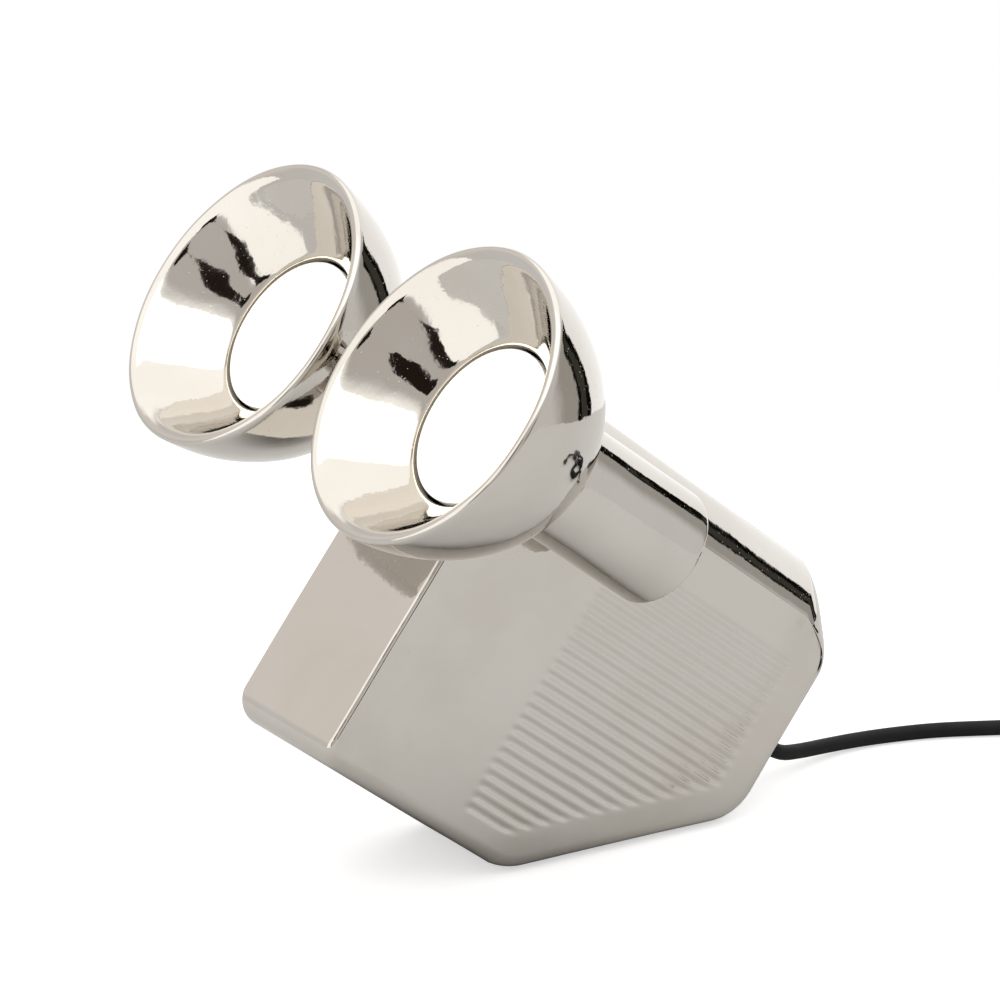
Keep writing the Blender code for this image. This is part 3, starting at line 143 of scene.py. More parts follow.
def make_camera():
    data = bpy.data.cameras.new("camera")
    data.lens, data.sensor_width, data.sensor_fit = CAMERA_LENS, SENSOR, "HORIZONTAL"
    data.clip_start, data.clip_end = 0.05, 60.0
    made = bpy.data.objects.new("camera", data)
    bpy.context.scene.collection.objects.link(made)
    a, e = CAMERA_AZIMUTH, CAMERA_ELEVATION
    ahead = Vector((math.sin(a) * math.cos(e), math.cos(a) * math.cos(e), -math.sin(e)))
    right = Vector((math.cos(a), -math.sin(a), 0.0))
    up = right.cross(ahead)
    turned_right = right * math.cos(CAMERA_ROLL) + up * math.sin(CAMERA_ROLL)
    turned_up = up * math.cos(CAMERA_ROLL) - right * math.sin(CAMERA_ROLL)
    axes = Matrix((turned_right, turned_up, -ahead)).transposed().to_4x4()
    made.matrix_world = Matrix.Translation(CAMERA_AT) @ axes
    bpy.context.scene.camera = made


def smooth_route(route, spacing):
    """Points about every spacing along a smooth curve through the route's own points."""
    knots = [Vector(point) for point in route]
    fine = 12
    path = [knots[0]]
    for i in range(len(knots) - 1):
        start, end = knots[i], knots[i + 1]
        before = knots[i - 1] if i else start - (end - start)
        after = knots[i + 2] if i + 2 < len(knots) else end + (end - start)
        for step in range(1, fine + 1):
            s = step / fine
            square = (before * 2 - start * 5 + end * 4 - after) * s**2
            cube = (start * 3 - before - end * 3 + after) * s**3
            path.append((start * 2 + (end - before) * s + square + cube) / 2)
    travelled = np.cumsum([0.0] + [(b - a).length for a, b in zip(path, path[1:])])
    wanted = np.linspace(0.0, travelled[-1], max(3, round(travelled[-1] / spacing) + 1))
    columns = [np.interp(wanted, travelled, [point[axis] for point in path]) for axis in range(3)]
    return [Vector(point) for point in zip(*columns)]


def coil_points():
    """The cord wound in to the middle and out again one layer higher, with straight ends."""
    points = []
    last = round(2 * LAYER_TURNS * POINTS_PER_TURN)
    inner = COIL_OUTER - COIL_PITCH * LAYER_TURNS
    for i in range(last + 1):
        turns = i / POINTS_PER_TURN
        past = turns - LAYER_TURNS
        share = min(max(past / CLIMB_TURNS + 0.5, 0.0), 1.0)
        climb = (1 - math.cos(math.pi * share)) / 2
        radius = inner + COIL_PITCH * abs(past)
        angle = COIL_START - TURN * turns
        height = COIL_LIFT + CORD_RADIUS + COIL_PITCH * climb
        points.append(COIL_CENTRE + Vector((radius * math.cos(angle), radius * math.sin(angle), height)))
    return points


def tube(name, points, radius, material):
    curve = bpy.data.curves.new(name, "CURVE")
    curve.dimensions = "3D"
    curve.bevel_depth = radius
    curve.bevel_resolution = 6
    curve.use_fill_caps = True
    spline = curve.splines.new("POLY")
    spline.points.add(len(points) - 1)
    for place, point in zip(spline.points, points):
        place.co = (*point, 1.0)
    spline.use_smooth = True
    made = bpy.data.objects.new(name, curve)
    bpy.context.scene.collection.objects.link(made)
    curve.materials.append(material)
    return made


def make_cord(material):
    """One run from the case through the coil to the switch, and one from the switch to the plug."""
    joined = LEAD_ROUTE + coil_points() + LINK_ROUTE
    main = smooth_route(joined, ROUTE_STEP)
    flex = tube("flex_to_switch", main, CORD_RADIUS, material)
    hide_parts("cord_lead", "cord_coil", "cord_link")
    tail = smooth_route(TAIL_ROUTE, ROUTE_STEP)
    end = tube("flex_to_plug", tail, CORD_RADIUS, material)
    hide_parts("cord_tail")
    for made in (flex, end):
        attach(made, "base")
    return (flex, main), (end, tail)


# Materials


class Shader:
    """A Principled material whose nodes are added by name."""

    def __init__(self, name, colour, roughness, metallic=0.0, **sockets):
        self.material = bpy.data.materials.new(name)
        self.material.use_nodes = True
        self.tree = self.material.node_tree
        self.main = self.tree.nodes["Principled BSDF"]
        self.set("Base Color", (*colour, 1.0))
        self.set("Roughness", roughness)
        self.set("Metallic", metallic)
        for socket, value in sockets.items():
            self.set(socket.replace("_", " "), value)
        self.place = self.node("ShaderNodeTexCoord").outputs["Object"]

    def set(self, socket, value):
        self.main.inputs[socket].default_value = value

    def node(self, kind, **inputs):
        made = self.tree.nodes.new(kind)
        for name, value in inputs.items():
            self.feed(made.inputs[name.replace("_", " ")], value)
        return made

    def feed(self, socket, value):
        if isinstance(value, bpy.types.NodeSocket):
            self.tree.links.new(value, socket)
        else:
            socket.default_value = value

    def noise(self, scale, detail=2.0, roughness=0.5, distortion=0.0):
        made = self.node(
            "ShaderNodeTexNoise",
            Vector=self.place,
            Scale=scale,
            Detail=detail,
            Roughness=roughness,
            Distortion=distortion,
        )
        return made.outputs["Fac"]

    def ranged(self, value, low, high, to_low, to_high, smooth=False):
        made = self.node("ShaderNodeMapRange")
        made.interpolation_type = "SMOOTHSTEP" if smooth else "LINEAR"
        for socket, number in zip(
            ("Value", "From Min", "From Max", "To Min", "To Max"), (value, low, high, to_low, to_high)
        ):
            self.feed(made.inputs[socket], number)
        return made.outputs["Result"]

    def blended(self, share, first, second):
        made = self.node("ShaderNodeMix")
        made.data_type = "RGBA"
        self.feed(made.inputs["Factor"], share)
        self.feed(made.inputs["A"], first if isinstance(first, bpy.types.NodeSocket) else (*first, 1.0))
        self.feed(made.inputs["B"], second if isinstance(second, bpy.types.NodeSocket) else (*second, 1.0))
        return made.outputs["Result"]

    def bump(self, height, strength, distance, before=None):
        made = self.node("ShaderNodeBump", Height=height, Strength=strength, Distance=distance)
        if before is not None:
            self.feed(made.inputs["Normal"], before)
        return made.outputs["Normal"]


def platinum():
    """Mirror metal lustre over glaze: warm grey, with pools of slightly thicker lustre and pinholes."""
    shader = Shader("platinum_glaze", (0.60, 0.575, 0.54), 0.07, 1.0)
    pools = shader.ranged(shader.noise(14.0, 3.0, 0.55, 0.6), 0.35, 0.68, 0.0, 1.0, True)
    lustre = shader.blended(pools, (0.615, 0.585, 0.54), (0.585, 0.55, 0.50))
    shader.feed(shader.main.inputs["Base Color"], lustre)
    haze = shader.ranged(shader.noise(60.0, 4.0, 0.6), 0.3, 0.75, 0.025, 0.08, True)
    shader.feed(shader.main.inputs["Roughness"], haze)
    wave = shader.bump(shader.noise(32.0, 2.0), 0.35, 0.0012)
    orange_peel = shader.bump(shader.noise(230.0, 2.0), 0.20, 0.0002, wave)
    speck = shader.ranged(shader.noise(900.0, 1.0), 0.73, 0.80, 0.0, 1.0, True)
    pinholes = shader.bump(speck, 0.25, 0.0002, orange_peel)
    shader.feed(shader.main.inputs["Normal"], pinholes)
    return shader.material


def zinc():
    shader = Shader("zinc_plate", (0.55, 0.55, 0.56), 0.35, 1.0)
    shader.feed(shader.main.inputs["Roughness"], shader.ranged(shader.noise(220.0, 4.0), 0.3, 0.7, 0.26, 0.46))
    tint = shader.ranged(shader.noise(45.0, 3.0), 0.35, 0.7, 0.0, 1.0)
    shader.feed(shader.main.inputs["Base Color"], shader.blended(tint, (0.57, 0.57, 0.58), (0.50, 0.50, 0.49)))
    shader.feed(shader.main.inputs["Normal"], shader.bump(shader.noise(700.0, 3.0), 0.12, 0.0002))
    return shader.material


def powder_coat():
    shader = Shader("black_powder_coat", (0.035, 0.035, 0.036), 0.5)
    shader.feed(shader.main.inputs["Roughness"], shader.ranged(shader.noise(300.0, 3.0), 0.3, 0.7, 0.42, 0.6))
    shader.feed(shader.main.inputs["Normal"], shader.bump(shader.noise(1400.0, 2.0), 0.35, 0.0003))
    tint = shader.ranged(shader.noise(90.0, 2.0), 0.3, 0.7, 0.0, 1.0)
    black = shader.blended(tint, (0.030, 0.030, 0.031), (0.045, 0.045, 0.046))
    shader.feed(shader.main.inputs["Base Color"], black)
    return shader.material


def brass():
    shader = Shader("brass", (0.72, 0.56, 0.29), 0.28, 1.0)
    tint = shader.ranged(shader.noise(180.0, 4.0), 0.35, 0.7, 0.0, 1.0)
    shader.feed(shader.main.inputs["Base Color"], shader.blended(tint, (0.75, 0.59, 0.31), (0.62, 0.46, 0.23)))
    shader.feed(shader.main.inputs["Roughness"], shader.ranged(shader.noise(500.0, 3.0), 0.3, 0.7, 0.2, 0.38))
    shader.feed(shader.main.inputs["Normal"], shader.bump(shader.noise(1200.0, 2.0), 0.1, 0.0001))
    return shader.material


def plastic(name, light, dark, roughness, grain, grain_strength, **sockets):
    """Moulded plastic or rubber: a fine grain, slight mottling and uneven gloss."""
    shader = Shader(name, light, roughness, **sockets)
    tint = shader.ranged(shader.noise(35.0, 3.0), 0.35, 0.65, 0.0, 1.0, True)
    shader.feed(shader.main.inputs["Base Color"], shader.blended(tint, light, dark))
    gloss = shader.ranged(shader.noise(120.0, 4.0), 0.3, 0.7, roughness - 0.06, roughness + 0.08)
    shader.feed(shader.main.inputs["Roughness"], gloss)
    shader.feed(shader.main.inputs["Normal"], shader.bump(shader.noise(grain, 2.0), grain_strength, 0.0002))
    return shader.material


def lit_opal():
    """Lit diffuser: white, slightly warmer towards its edge, where the light falls off."""
    shader = Shader("lit_opal", (0.93, 0.92, 0.89), 0.35)
    near = shader.node("ShaderNodeVectorMath")
    near.operation = "LENGTH"
    shader.feed(near.inputs[0], shader.place)
    edge = shader.ranged(near.outputs["Value"], 0.0359, 0.0370, 0.0, 1.0, True)
    grain = shader.ranged(shader.noise(400.0, 2.0), 0.3, 0.7, 0.0, 0.03)
    warm = shader.blended(edge, (1.0, 0.985, 0.955), (0.80, 0.66, 0.46))
    mottled = shader.blended(grain, warm, (0.96, 0.95, 0.92))
    shader.feed(shader.main.inputs["Emission Color"], mottled)
    shader.set("Emission Strength", 2.6)
    return shader.material


# Shapes


def ripple(points, wavelength, seed):
    """Smooth unevenness, about -1 to 1, from a few waves in fixed directions."""
    made = np.random.default_rng(seed)
    total = np.zeros(len(points))
    count = 14
    for _ in range(count):
        direction = made.normal(size=3)
        direction /= np.linalg.norm(direction)
        length = wavelength * made.uniform(0.7, 1.8)
        total += np.sin(points @ direction * TURN / length + made.uniform(0, TURN))
    return total / math.sqrt(count)


def smoothstep(low, high, value):
    share = np.clip((value - low) / (high - low), 0.0, 1.0)
    return share * share * (3 - 2 * share)


def mesh_object(name, vertices, faces, material, space=None):
    mesh = bpy.data.meshes.new(name)
    mesh.from_pydata([tuple(map(float, v)) for v in vertices], [], faces)
    if space is not None:
        mesh.transform(space)
    shape = bmesh.new()
    shape.from_mesh(mesh)
    bmesh.ops.recalc_face_normals(shape, faces=shape.faces)
    shape.to_mesh(mesh)
    shape.free()
    mesh.shade_smooth()
    made = bpy.data.objects.new(name, mesh)
    bpy.context.scene.collection.objects.link(made)
    if material is not None:
        mesh.materials.append(material)
    return made


def ring_faces(first, second, count):
    """Quads between two rings of count vertices, given by their first indices."""
    return [(first + i, first + (i + 1) % count, second + (i + 1) % count, second + i) for i in range(count)]


def loft(loops, closed=False):
    """Vertices and faces of a skin over loops; capped by a face at each end unless it closes on itself."""
    count = len(loops[0])
    vertices = [point for loop in loops for point in loop]
    faces = []
    for i in range(len(loops) - 1):
        faces += ring_faces(i * count, (i + 1) * count, count)
    if closed:
        faces += ring_faces((len(loops) - 1) * count, 0, count)
    else:
        faces += [tuple(range(count)), tuple(range((len(loops) - 1) * count, len(loops) * count))]
    return vertices, faces


def turned(profile, sides):
    """A closed section of (radius, height) points turned about Z, where radius 0 closes it on the axis."""
    vertices, faces, rings = [], [], []
    for radius, height in profile:
        if radius:
            rings.append(list(range(len(vertices), len(vertices) + sides)))
            for i in range(sides):
                angle = TURN * i / sides
                vertices.append((radius * math.cos(angle), radius * math.sin(angle), height))
        else:
            rings.append([len(vertices)])
            vertices.append((0.0, 0.0, height))
    pairs = list(zip(rings, rings[1:]))
    if len(rings[0]) > 1:
        pairs.append((rings[-1], rings[0]))
    for low, high in pairs:
        for i in range(sides):
            j = (i + 1) % sides
            if len(low) == 1:
                faces.append((low[0], high[j], high[i]))
            elif len(high) == 1:
                faces.append((low[i], low[j], high[0]))
            else:
                faces.append((low[i], low[j], high[j], high[i]))
    return vertices, faces


def circle(radius, sides):
    return [(radius * math.cos(TURN * i / sides), radius * math.sin(TURN * i / sides)) for i in range(sides)]


def arc(centre, radius, first, last, steps):
    """Points on an arc in the (radius, height) plane, angles in degrees."""
    angles = np.radians(np.linspace(first, last, steps + 1))
    return [(centre[0] + radius * math.cos(a), centre[1] + radius * math.sin(a)) for a in angles]


def dense(profile, spacing):
    """The profile with points added so that no straight stretch is longer than spacing."""
    made = []
    for start, end in zip(profile, profile[1:]):
        steps = max(1, math.ceil(math.dist(start, end) / spacing))
        made += [tuple(np.array(start) + (np.array(end) - start) * i / steps) for i in range(steps)]
    return made + [profile[-1]]


def cut(target, *cutters):
    """Takes the cutters' shapes out of target's own mesh and removes the cutters."""
    for cutter in cutters:
        modifier = target.modifiers.new(cutter.name, "BOOLEAN")
        modifier.operation = "DIFFERENCE"
        modifier.object = cutter
    bpy.context.view_layer.update()
    result = bpy.data.meshes.new_from_object(target.evaluated_get(bpy.context.evaluated_depsgraph_get()))
    target.modifiers.clear()
    target.data = result
    for cutter in cutters:
        bpy.data.objects.remove(cutter)
    result.shade_smooth()
    result.set_sharp_from_angle(angle=SMOOTH_BELOW)


def unevened(vertices, amount, wavelength, seed):
    """Vertices moved by a smooth three-way unevenness of cast clay."""
    points = np.array(vertices, float)
    shift = np.stack([ripple(points, wavelength, seed + axis) for axis in range(3)], axis=1)
    return points + shift * amount


# Case


def case_corners():
    return [
        (0.0, 0.0),
        (CASE_LENGTH - CHAMFER_RUN, 0.0),
        (CASE_LENGTH, CHAMFER_RISE),
        (CASE_LENGTH, CASE_HEIGHT),
        (0.0, CASE_HEIGHT),
    ]


def case_section(arc_steps, edge_step):
    """Rows of (x, z, normal x, normal z, fillet) round the case, anticlockwise from the front's foot."""
    corners = [Vector(corner) for corner in case_corners()]
    rows = []
    for i, (corner, radius) in enumerate(zip(corners, CORNER_ROUNDS)):
        before = (corner - corners[i - 1]).normalized()
        after = (corners[(i + 1) % 5] - corner).normalized()
        first = math.atan2(-before.x, before.y)
        turn = before.angle(after)
        centre = corner - before * radius * math.tan(turn / 2) + Vector((-before.y, before.x)) * radius
        for step in range(arc_steps + 1):
            share = step / arc_steps
            angle = first + turn * share
            normal = Vector((math.cos(angle), math.sin(angle)))
            fillet = EDGE_FILLETS[i - 1] * (1 - share) + EDGE_FILLETS[i] * share
            place = centre + normal * radius
            rows.append((place.x, place.y, normal.x, normal.y, fillet))
    if not edge_step:
        return np.array(rows)
    filled = []
    for row, following in zip(rows, rows[1:] + rows[:1]):
        row, following = np.array(row), np.array(following)
        steps = max(1, math.ceil(np.linalg.norm(following[:2] - row[:2]) / edge_step))
        filled += [row + (following - row) * i / steps for i in range(steps)]
    return np.array(filled)


def case_rows():
    """Section rows at matching heights up the rear and front chains, and along the flat foot and top."""
    section = case_section(CORNER_STEPS, 0.0005)
    inner = section[:, :2] - section[:, 2:4] * section[:, 4:5]
    low, high = inner[:, 1].min(), inner[:, 1].max()
    level = 1e-7
    flat_low = [i for i in range(len(section)) if inner[i, 1] < low + level]
    flat_high = [i for i in range(len(section)) if inner[i, 1] > high - level]
    rear = section[flat_low[-1] : flat_high[0] + 1]
    front = np.concatenate([section[flat_high[-1] :], section[: flat_low[0] + 1]])[::-1]
    near_ends = (np.arange(1, 8) * CURVE_STEP) ** 2 / 0.054
    middle = np.arange(low + near_ends[-1] + ROW_STEP, high - near_ends[-1] - ROW_STEP / 2, ROW_STEP)
    heights = np.concatenate([[low], low + near_ends, middle, high - near_ends[::-1], [high]])

    def at_heights(chain):
        z = chain[:, 1] - chain[:, 3] * chain[:, 4]
        z = np.maximum.accumulate(z + np.arange(len(z)) * 1e-12)
        return np.stack([np.interp(heights, z, chain[:, k]) for k in range(5)], axis=1)

    return at_heights(front), at_heights(rear)


def rib_depth(x, z):
    """How deep the ribs sink at a place on the side face, and their fading towards the field's edge."""
    top = CASE_HEIGHT - RIBS_FROM_TOP
    wave = (1 + np.cos(TURN * (z - top) / RIB_PITCH)) / 2
    along_chamfer = (x - (CASE_LENGTH - CHAMFER_RUN)) * math.sin(TILT) - z * math.cos(TILT)
    inside = [
        x - RIBS_FROM_FRONT,
        CASE_LENGTH - RIBS_FROM_REAR - x,
        -along_chamfer - RIBS_FROM_CHAMFER,
    ]
    ends = np.minimum.reduce(inside)
    rows = np.minimum(top + RIB_PITCH / 2 - z, z - RIBS_FROM_BOTTOM)
    fade = smoothstep(0.0, RIB_RAMP, ends) * smoothstep(0.0, RIB_PITCH / 4, rows)
    return RIB_DEPTH * wave * fade


def arched(points):
    """The case's points with its top edges eased into an arch, as wide bevels with soft ends."""
    points = np.array(points, float)
    fillet = EDGE_FILLETS[3]
    across = np.minimum(np.abs(points[:, 1]), CASE_WIDTH / 2)
    along_bevel = np.clip((across - CASE_WIDTH / 2 + ARCH_REACH) / ARCH_REACH, 0.0, 1.0)
    wanted = ARCH_REACH * (1 - (1 - along_bevel**ARCH_POWER) ** (1 / ARCH_POWER))
    into_fillet = np.clip((across - CASE_WIDTH / 2 + fillet) / fillet, 0.0, 1.0)
    present = fillet * (1 - np.sqrt(1 - into_fillet**2))
    start = CASE_HEIGHT - ARCH_REACH - ARCH_FADE
    share = np.clip((points[:, 2] - start) / (CASE_HEIGHT - fillet - start), 0.0, 1.0)
    points[:, 2] -= (wanted - present - ARCH_RISE) * share
    return points


def fine_case(material):
    """The glazed case: gridded side faces with soft ribs, rounded edges and gently uneven faces."""
    front, rear = case_rows()
    levels = len(front)
    shares = np.linspace(0.0, 1.0, COLUMNS + 1)
    inner_front = front[:, :2] - front[:, 2:4] * front[:, 4:5]
    inner_rear = rear[:, :2] - rear[:, 2:4] * rear[:, 4:5]
    grid = inner_front[:, None] + (inner_rear - inner_front)[:, None] * shares[None, :, None]

    def flat_edge(first, last):
        return first + (last - first) * shares[:, None]

    loop_rows = np.concatenate(
        [
            flat_edge(front[0], rear[0])[:-1],
            rear[:-1],
            flat_edge(rear[-1], front[-1])[:-1],
            front[:0:-1],
        ]
    )
    loop_cells = (
        [(0, j) for j in range(COLUMNS)]
        + [(i, COLUMNS) for i in range(levels - 1)]
        + [(levels - 1, COLUMNS - j) for j in range(COLUMNS)]
        + [(levels - 1 - i, 0) for i in range(levels - 1)]
    )
    count = len(loop_rows)
    half = CASE_WIDTH / 2
    loops = []

    def fillet_loop(side, angle):
        fillet = loop_rows[:, 4]
        inwards = fillet * (1 - math.cos(angle))
        flat = loop_rows[:, :2] - loop_rows[:, 2:4] * inwards[:, None]
        y = side * (half - fillet * (1 - math.sin(angle)))
        return np.stack([flat[:, 0], y, flat[:, 1]], axis=1)

    for step in range(FILLET_STEPS - 1, -1, -1):
        loops.append(fillet_loop(-1, math.pi / 2 * step / FILLET_STEPS))
    low, high = loops[-1], fillet_loop(1, 0.0)
    for step in range(1, WIDTH_STEPS):
        loops.append(low + (high - low) * step / WIDTH_STEPS)
    for step in range(FILLET_STEPS):
        loops.append(fillet_loop(1, math.pi / 2 * step / FILLET_STEPS))
    band = np.concatenate(loops)
    faces = []
    for i in range(len(loops) - 1):
        faces += ring_faces(i * count, (i + 1) * count, count)
    vertices = [band]
    start = len(band)
    cells = levels * (COLUMNS + 1)
    for side, edge_loop in ((-1, 0), (1, (len(loops) - 1) * count)):
        x, z = grid[..., 0].ravel(), grid[..., 1].ravel()
        y = side * (half - rib_depth(x, z))
        vertices.append(np.stack([x, y, z], axis=1))
        for i in range(levels - 1):
            for j in range(COLUMNS):
                a = start + i * (COLUMNS + 1) + j
                faces.append((a, a + 1, a + COLUMNS + 2, a + COLUMNS + 1))
        rim = [start + i * (COLUMNS + 1) + j for i, j in loop_cells]
        for k in range(count):
            following = (k + 1) % count
            faces.append((edge_loop + k, edge_loop + following, rim[following], rim[k]))
        start += cells
    points = unevened(arched(np.concatenate(vertices)), CASE_UNEVENNESS, CASE_WAVE, 11)
    made = mesh_object("glazed_case", points, faces, material, CASE_SPACE)
    cut(made, *case_cutters())
    return made


def prism(outline, low, high):
    return loft([[(x, y, z) for x, y in outline] for z in (low, high)])


def cut_corner_rectangle(length, width, edge):
    x, y = length / 2, width / 2
    return [
        (x, y - edge),
        (x - edge, y),
        (edge - x, y),
        (-x, y - edge),
        (-x, edge - y),
        (edge - x, -y),
        (x - edge, -y),
        (x, edge - y),
    ]


def case_hollow():
    """Coarse loops of the case's inner skin."""
    section = case_section(8, 0)
    loops = []
    half = CASE_WIDTH / 2 - CASE_WALL
    for side in (-1, 1):
        for level in (2, 1, 0) if side < 0 else (0, 1, 2):
            angle = math.pi / 4 * level
            loop = []
            for x, z, nx, nz, fillet in section:
                fillet = max(fillet - CASE_WALL, LEAST_FILLET)
                inwards = CASE_WALL + fillet * (1 - math.cos(angle))
                y = side * (half - fillet * (1 - math.sin(angle)))
                loop.append((x - nx * inwards, y, z - nz * inwards))
            loops.append(loop)
    vertices, faces = loft(loops)
    return arched(vertices), faces


def case_cutters():
    """Hollow, base opening and rebate, neck holes and cord hole."""
    over = 0.002
    lap = 0.005
    at = Matrix.Translation(CASE_FOOT) @ Matrix.Translation((PLATE_AHEAD, 0.0, 0.0))
    through = cut_corner_rectangle(PLATE_LENGTH - 2 * lap, PLATE_WIDTH - 2 * lap, lap)
    opening = prism(through, -over, CASE_WALL + over)
    seat = cut_corner_rectangle(PLATE_LENGTH + PLATE_PLAY, PLATE_WIDTH + PLATE_PLAY, lap)
    rebate = prism(seat, -over, REBATE_DEPTH)
    pivot = Matrix.Translation((PIVOT_FROM_FRONT, 0.0, CASE_HEIGHT - PIVOT_FROM_TOP))
    across = CASE_SPACE @ pivot @ Matrix.Rotation(math.pi / 2, 4, "X")
    out = CASE_SPACE @ Matrix.Translation(CORD_EXIT) @ Matrix.Rotation(math.pi / 2, 4, "Y")
    necks = prism(circle(BORE_RADIUS, BORE_SIDES), -CASE_WIDTH, CASE_WIDTH)
    cord = prism(circle(CORD_HOLE_RADIUS, BORE_SIDES), -CASE_WALL - over, over)
    return [
        mesh_object("cut_hollow", *case_hollow(), None, CASE_SPACE),
        mesh_object("cut_opening", *opening, None, at),
        mesh_object("cut_rebate", *rebate, None, at),
        mesh_object("cut_necks", *necks, None, across),
        mesh_object("cut_cord", *cord, None, out),
    ]


# Heads


def head_space(side):
    """On the tilt axis, Z ahead along the head, X upwards from it."""
    at = Matrix.Translation(PIVOT + Vector((0.0, side * HEAD_DISTANCE, 0.0)))
    return at @ Matrix.Rotation(TILT, 4, "Y") @ Matrix.Rotation(-math.pi / 2, 4, "Y")


def bowl_radius(ahead):
    centre = BOWL_RIM + BOWL_CENTRE_AHEAD
    at_rim = BOWL_CENTRE_AHEAD**2
    at_back = (centre - BOWL_BACK) ** 2
    fall = (RIM_RADIUS**2 - BACK_RADIUS**2) / (at_back - at_rim)
    return math.sqrt(RIM_RADIUS**2 + fall * (at_rim - (centre - ahead) ** 2))


def bowl_skin(inset, steps):
    front = BOWL_RIM - BOWL_LIP / 2
    points = []
    for step in range(steps + 1):
        ahead = BOWL_BACK + (front - BOWL_BACK) * (step / steps) ** 1.5
        small = 1e-5
        slope = (bowl_radius(ahead + small) - bowl_radius(ahead)) / small
        normal = Vector((1.0, -slope)).normalized()
        points.append((bowl_radius(ahead) - inset * normal.x, ahead - inset * normal.y))
    return points


def bowl_inside(crest):
    """From the lip's crest down the cone and round into the throat, in one smooth sweep."""
    collar_back = LAMP_FRONT - 0.0055
    lip_end = (crest[0] - 0.0030, crest[1] - 0.0011)
    corner = (THROAT_RADIUS, LAMP_FRONT + 0.0008)
    coarse = [crest, lip_end, corner, (THROAT_RADIUS, collar_back)]
    path = np.array(dense(coarse, 0.0005))
    cone = np.array(corner) - lip_end
    share = np.clip(((path - lip_end) @ cone) / (cone @ cone), 0.0, 1.0)
    behind = np.array([-cone[1], cone[0]]) / np.linalg.norm(cone)
    path += np.outer(np.sin(np.pi * share), -CONE_HOLLOW * behind * np.sign(behind[1]))
    for _ in range(28):
        path[1:-1] = (path[:-2] + 2 * path[1:-1] + path[2:]) / 4
    return [tuple(point) for point in path]


def bowl_profile():
    """Outer skin, lip, cone, throat and the hollow between the skins."""
    lip = BOWL_LIP / 2
    outer = bowl_skin(0.0, 44)
    middle = (outer[-1][0] - lip, BOWL_RIM - lip)
    rolled = arc(middle, lip, 12, 90, 12)
    inside = bowl_inside(rolled[-1])
    slope = Vector((inside[0][0] - THROAT_RADIUS, inside[0][1] - LAMP_FRONT)).normalized()
    behind = Vector((slope.y, -slope.x)) * BOWL_WALL
    inner = [p for p in bowl_skin(BOWL_WALL, 16) if BOWL_BACK + BOWL_WALL < p[1] < HOLLOW_END[1] - 0.0001]
    hollow_back = BOWL_BACK + BOWL_WALL
    return [
        (BORE_RADIUS, BOWL_BACK),
        (BACK_RADIUS - 0.0012, BOWL_BACK),
        *arc((BACK_RADIUS - 0.0008, BOWL_BACK + 0.0010), 0.0010, -70, -25, 3),
        *outer[2:],
        *rolled[1:],
        *inside[1:],
        (THROAT_RADIUS + BOWL_WALL, inside[-1][1]),
        (THROAT_RADIUS + behind.x, LAMP_FRONT + 0.0008 + behind.y),
        HOLLOW_END,
        *reversed(inner),
        (BACK_RADIUS - BOWL_WALL / 4, hollow_back),
        (BORE_RADIUS, hollow_back),
    ]


def make_bowl(side_name, side, material):
    vertices, faces = turned(bowl_profile(), BOWL_SIDES)
    points = unevened(vertices, 0.00012, 0.045, 31 + side)
    made = mesh_object(side_name + "_bowl", points, faces, material, head_space(side))
    made.data.set_sharp_from_angle(angle=math.radians(50))
    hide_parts(side_name + "_shade")
    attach(made, side_name + "_head")


def make_housing(side_name, side, material):
    edge, lip = 0.0032, 0.0013
    inner = HOUSING_RADIUS - HOUSING_WALL
    back = -HOUSING_BEHIND
    skin = [
        (0.0, back),
        (HOUSING_RADIUS - edge, back),
        *arc((HOUSING_RADIUS - edge, back + edge), edge, -80, 0, 8),
        *arc((HOUSING_RADIUS - lip, HOUSING_AHEAD - lip), lip, 0, 80, 5),
        (HOUSING_RADIUS - lip, HOUSING_AHEAD),
        (inner, HOUSING_AHEAD),
        (inner, back + HOUSING_WALL),
        (0.0, back + HOUSING_WALL),
    ]
    vertices, faces = turned(dense(skin, 0.003), ROUND_SIDES)
    points = unevened(vertices, 0.00010, 0.040, 51 + side)
    space = head_space(side)
    made = mesh_object(side_name + "_cylinder", points, faces, material, space)
    bore = prism(circle(BORE_RADIUS, BORE_SIDES), inner - HOUSING_WALL, HOUSING_RADIUS + HOUSING_WALL)
    towards = space @ Matrix.Rotation(side * math.pi / 2, 4, "X")
    cut(made, mesh_object("cut_bore", *bore, None, towards))
    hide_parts(side_name + "_housing")
    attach(made, side_name + "_head")


def make_neck(side_name, side, material):
    """The neck, flared where its slip joins the cylinder."""
    outer = HEAD_DISTANCE - CASE_WIDTH / 2 - 0.0016
    start = HOUSING_RADIUS - 0.003
    skin = [
        (BORE_RADIUS, start),
        (NECK_RADIUS + 0.0005, start),
        *[(NECK_RADIUS + 0.0016 * (1 - s) ** 2, start + 0.001 + 0.0055 * s) for s in np.linspace(0.0, 1.0, 7)],
        *arc((NECK_RADIUS - 0.0010, outer - 0.0010), 0.0010, 0, 80, 4),
        (NECK_RADIUS - 0.0012, outer),
        (BORE_RADIUS, outer),
    ]
    vertices, faces = turned(dense(skin, 0.002), 96)
    towards = head_space(side) @ Matrix.Rotation(side * math.pi / 2, 4, "X")
    made = mesh_object(side_name + "_collar", vertices, faces, material, towards)
    made.data.set_sharp_from_angle(angle=math.radians(50))
    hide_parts(side_name + "_neck")
    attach(made, side_name + "_head")


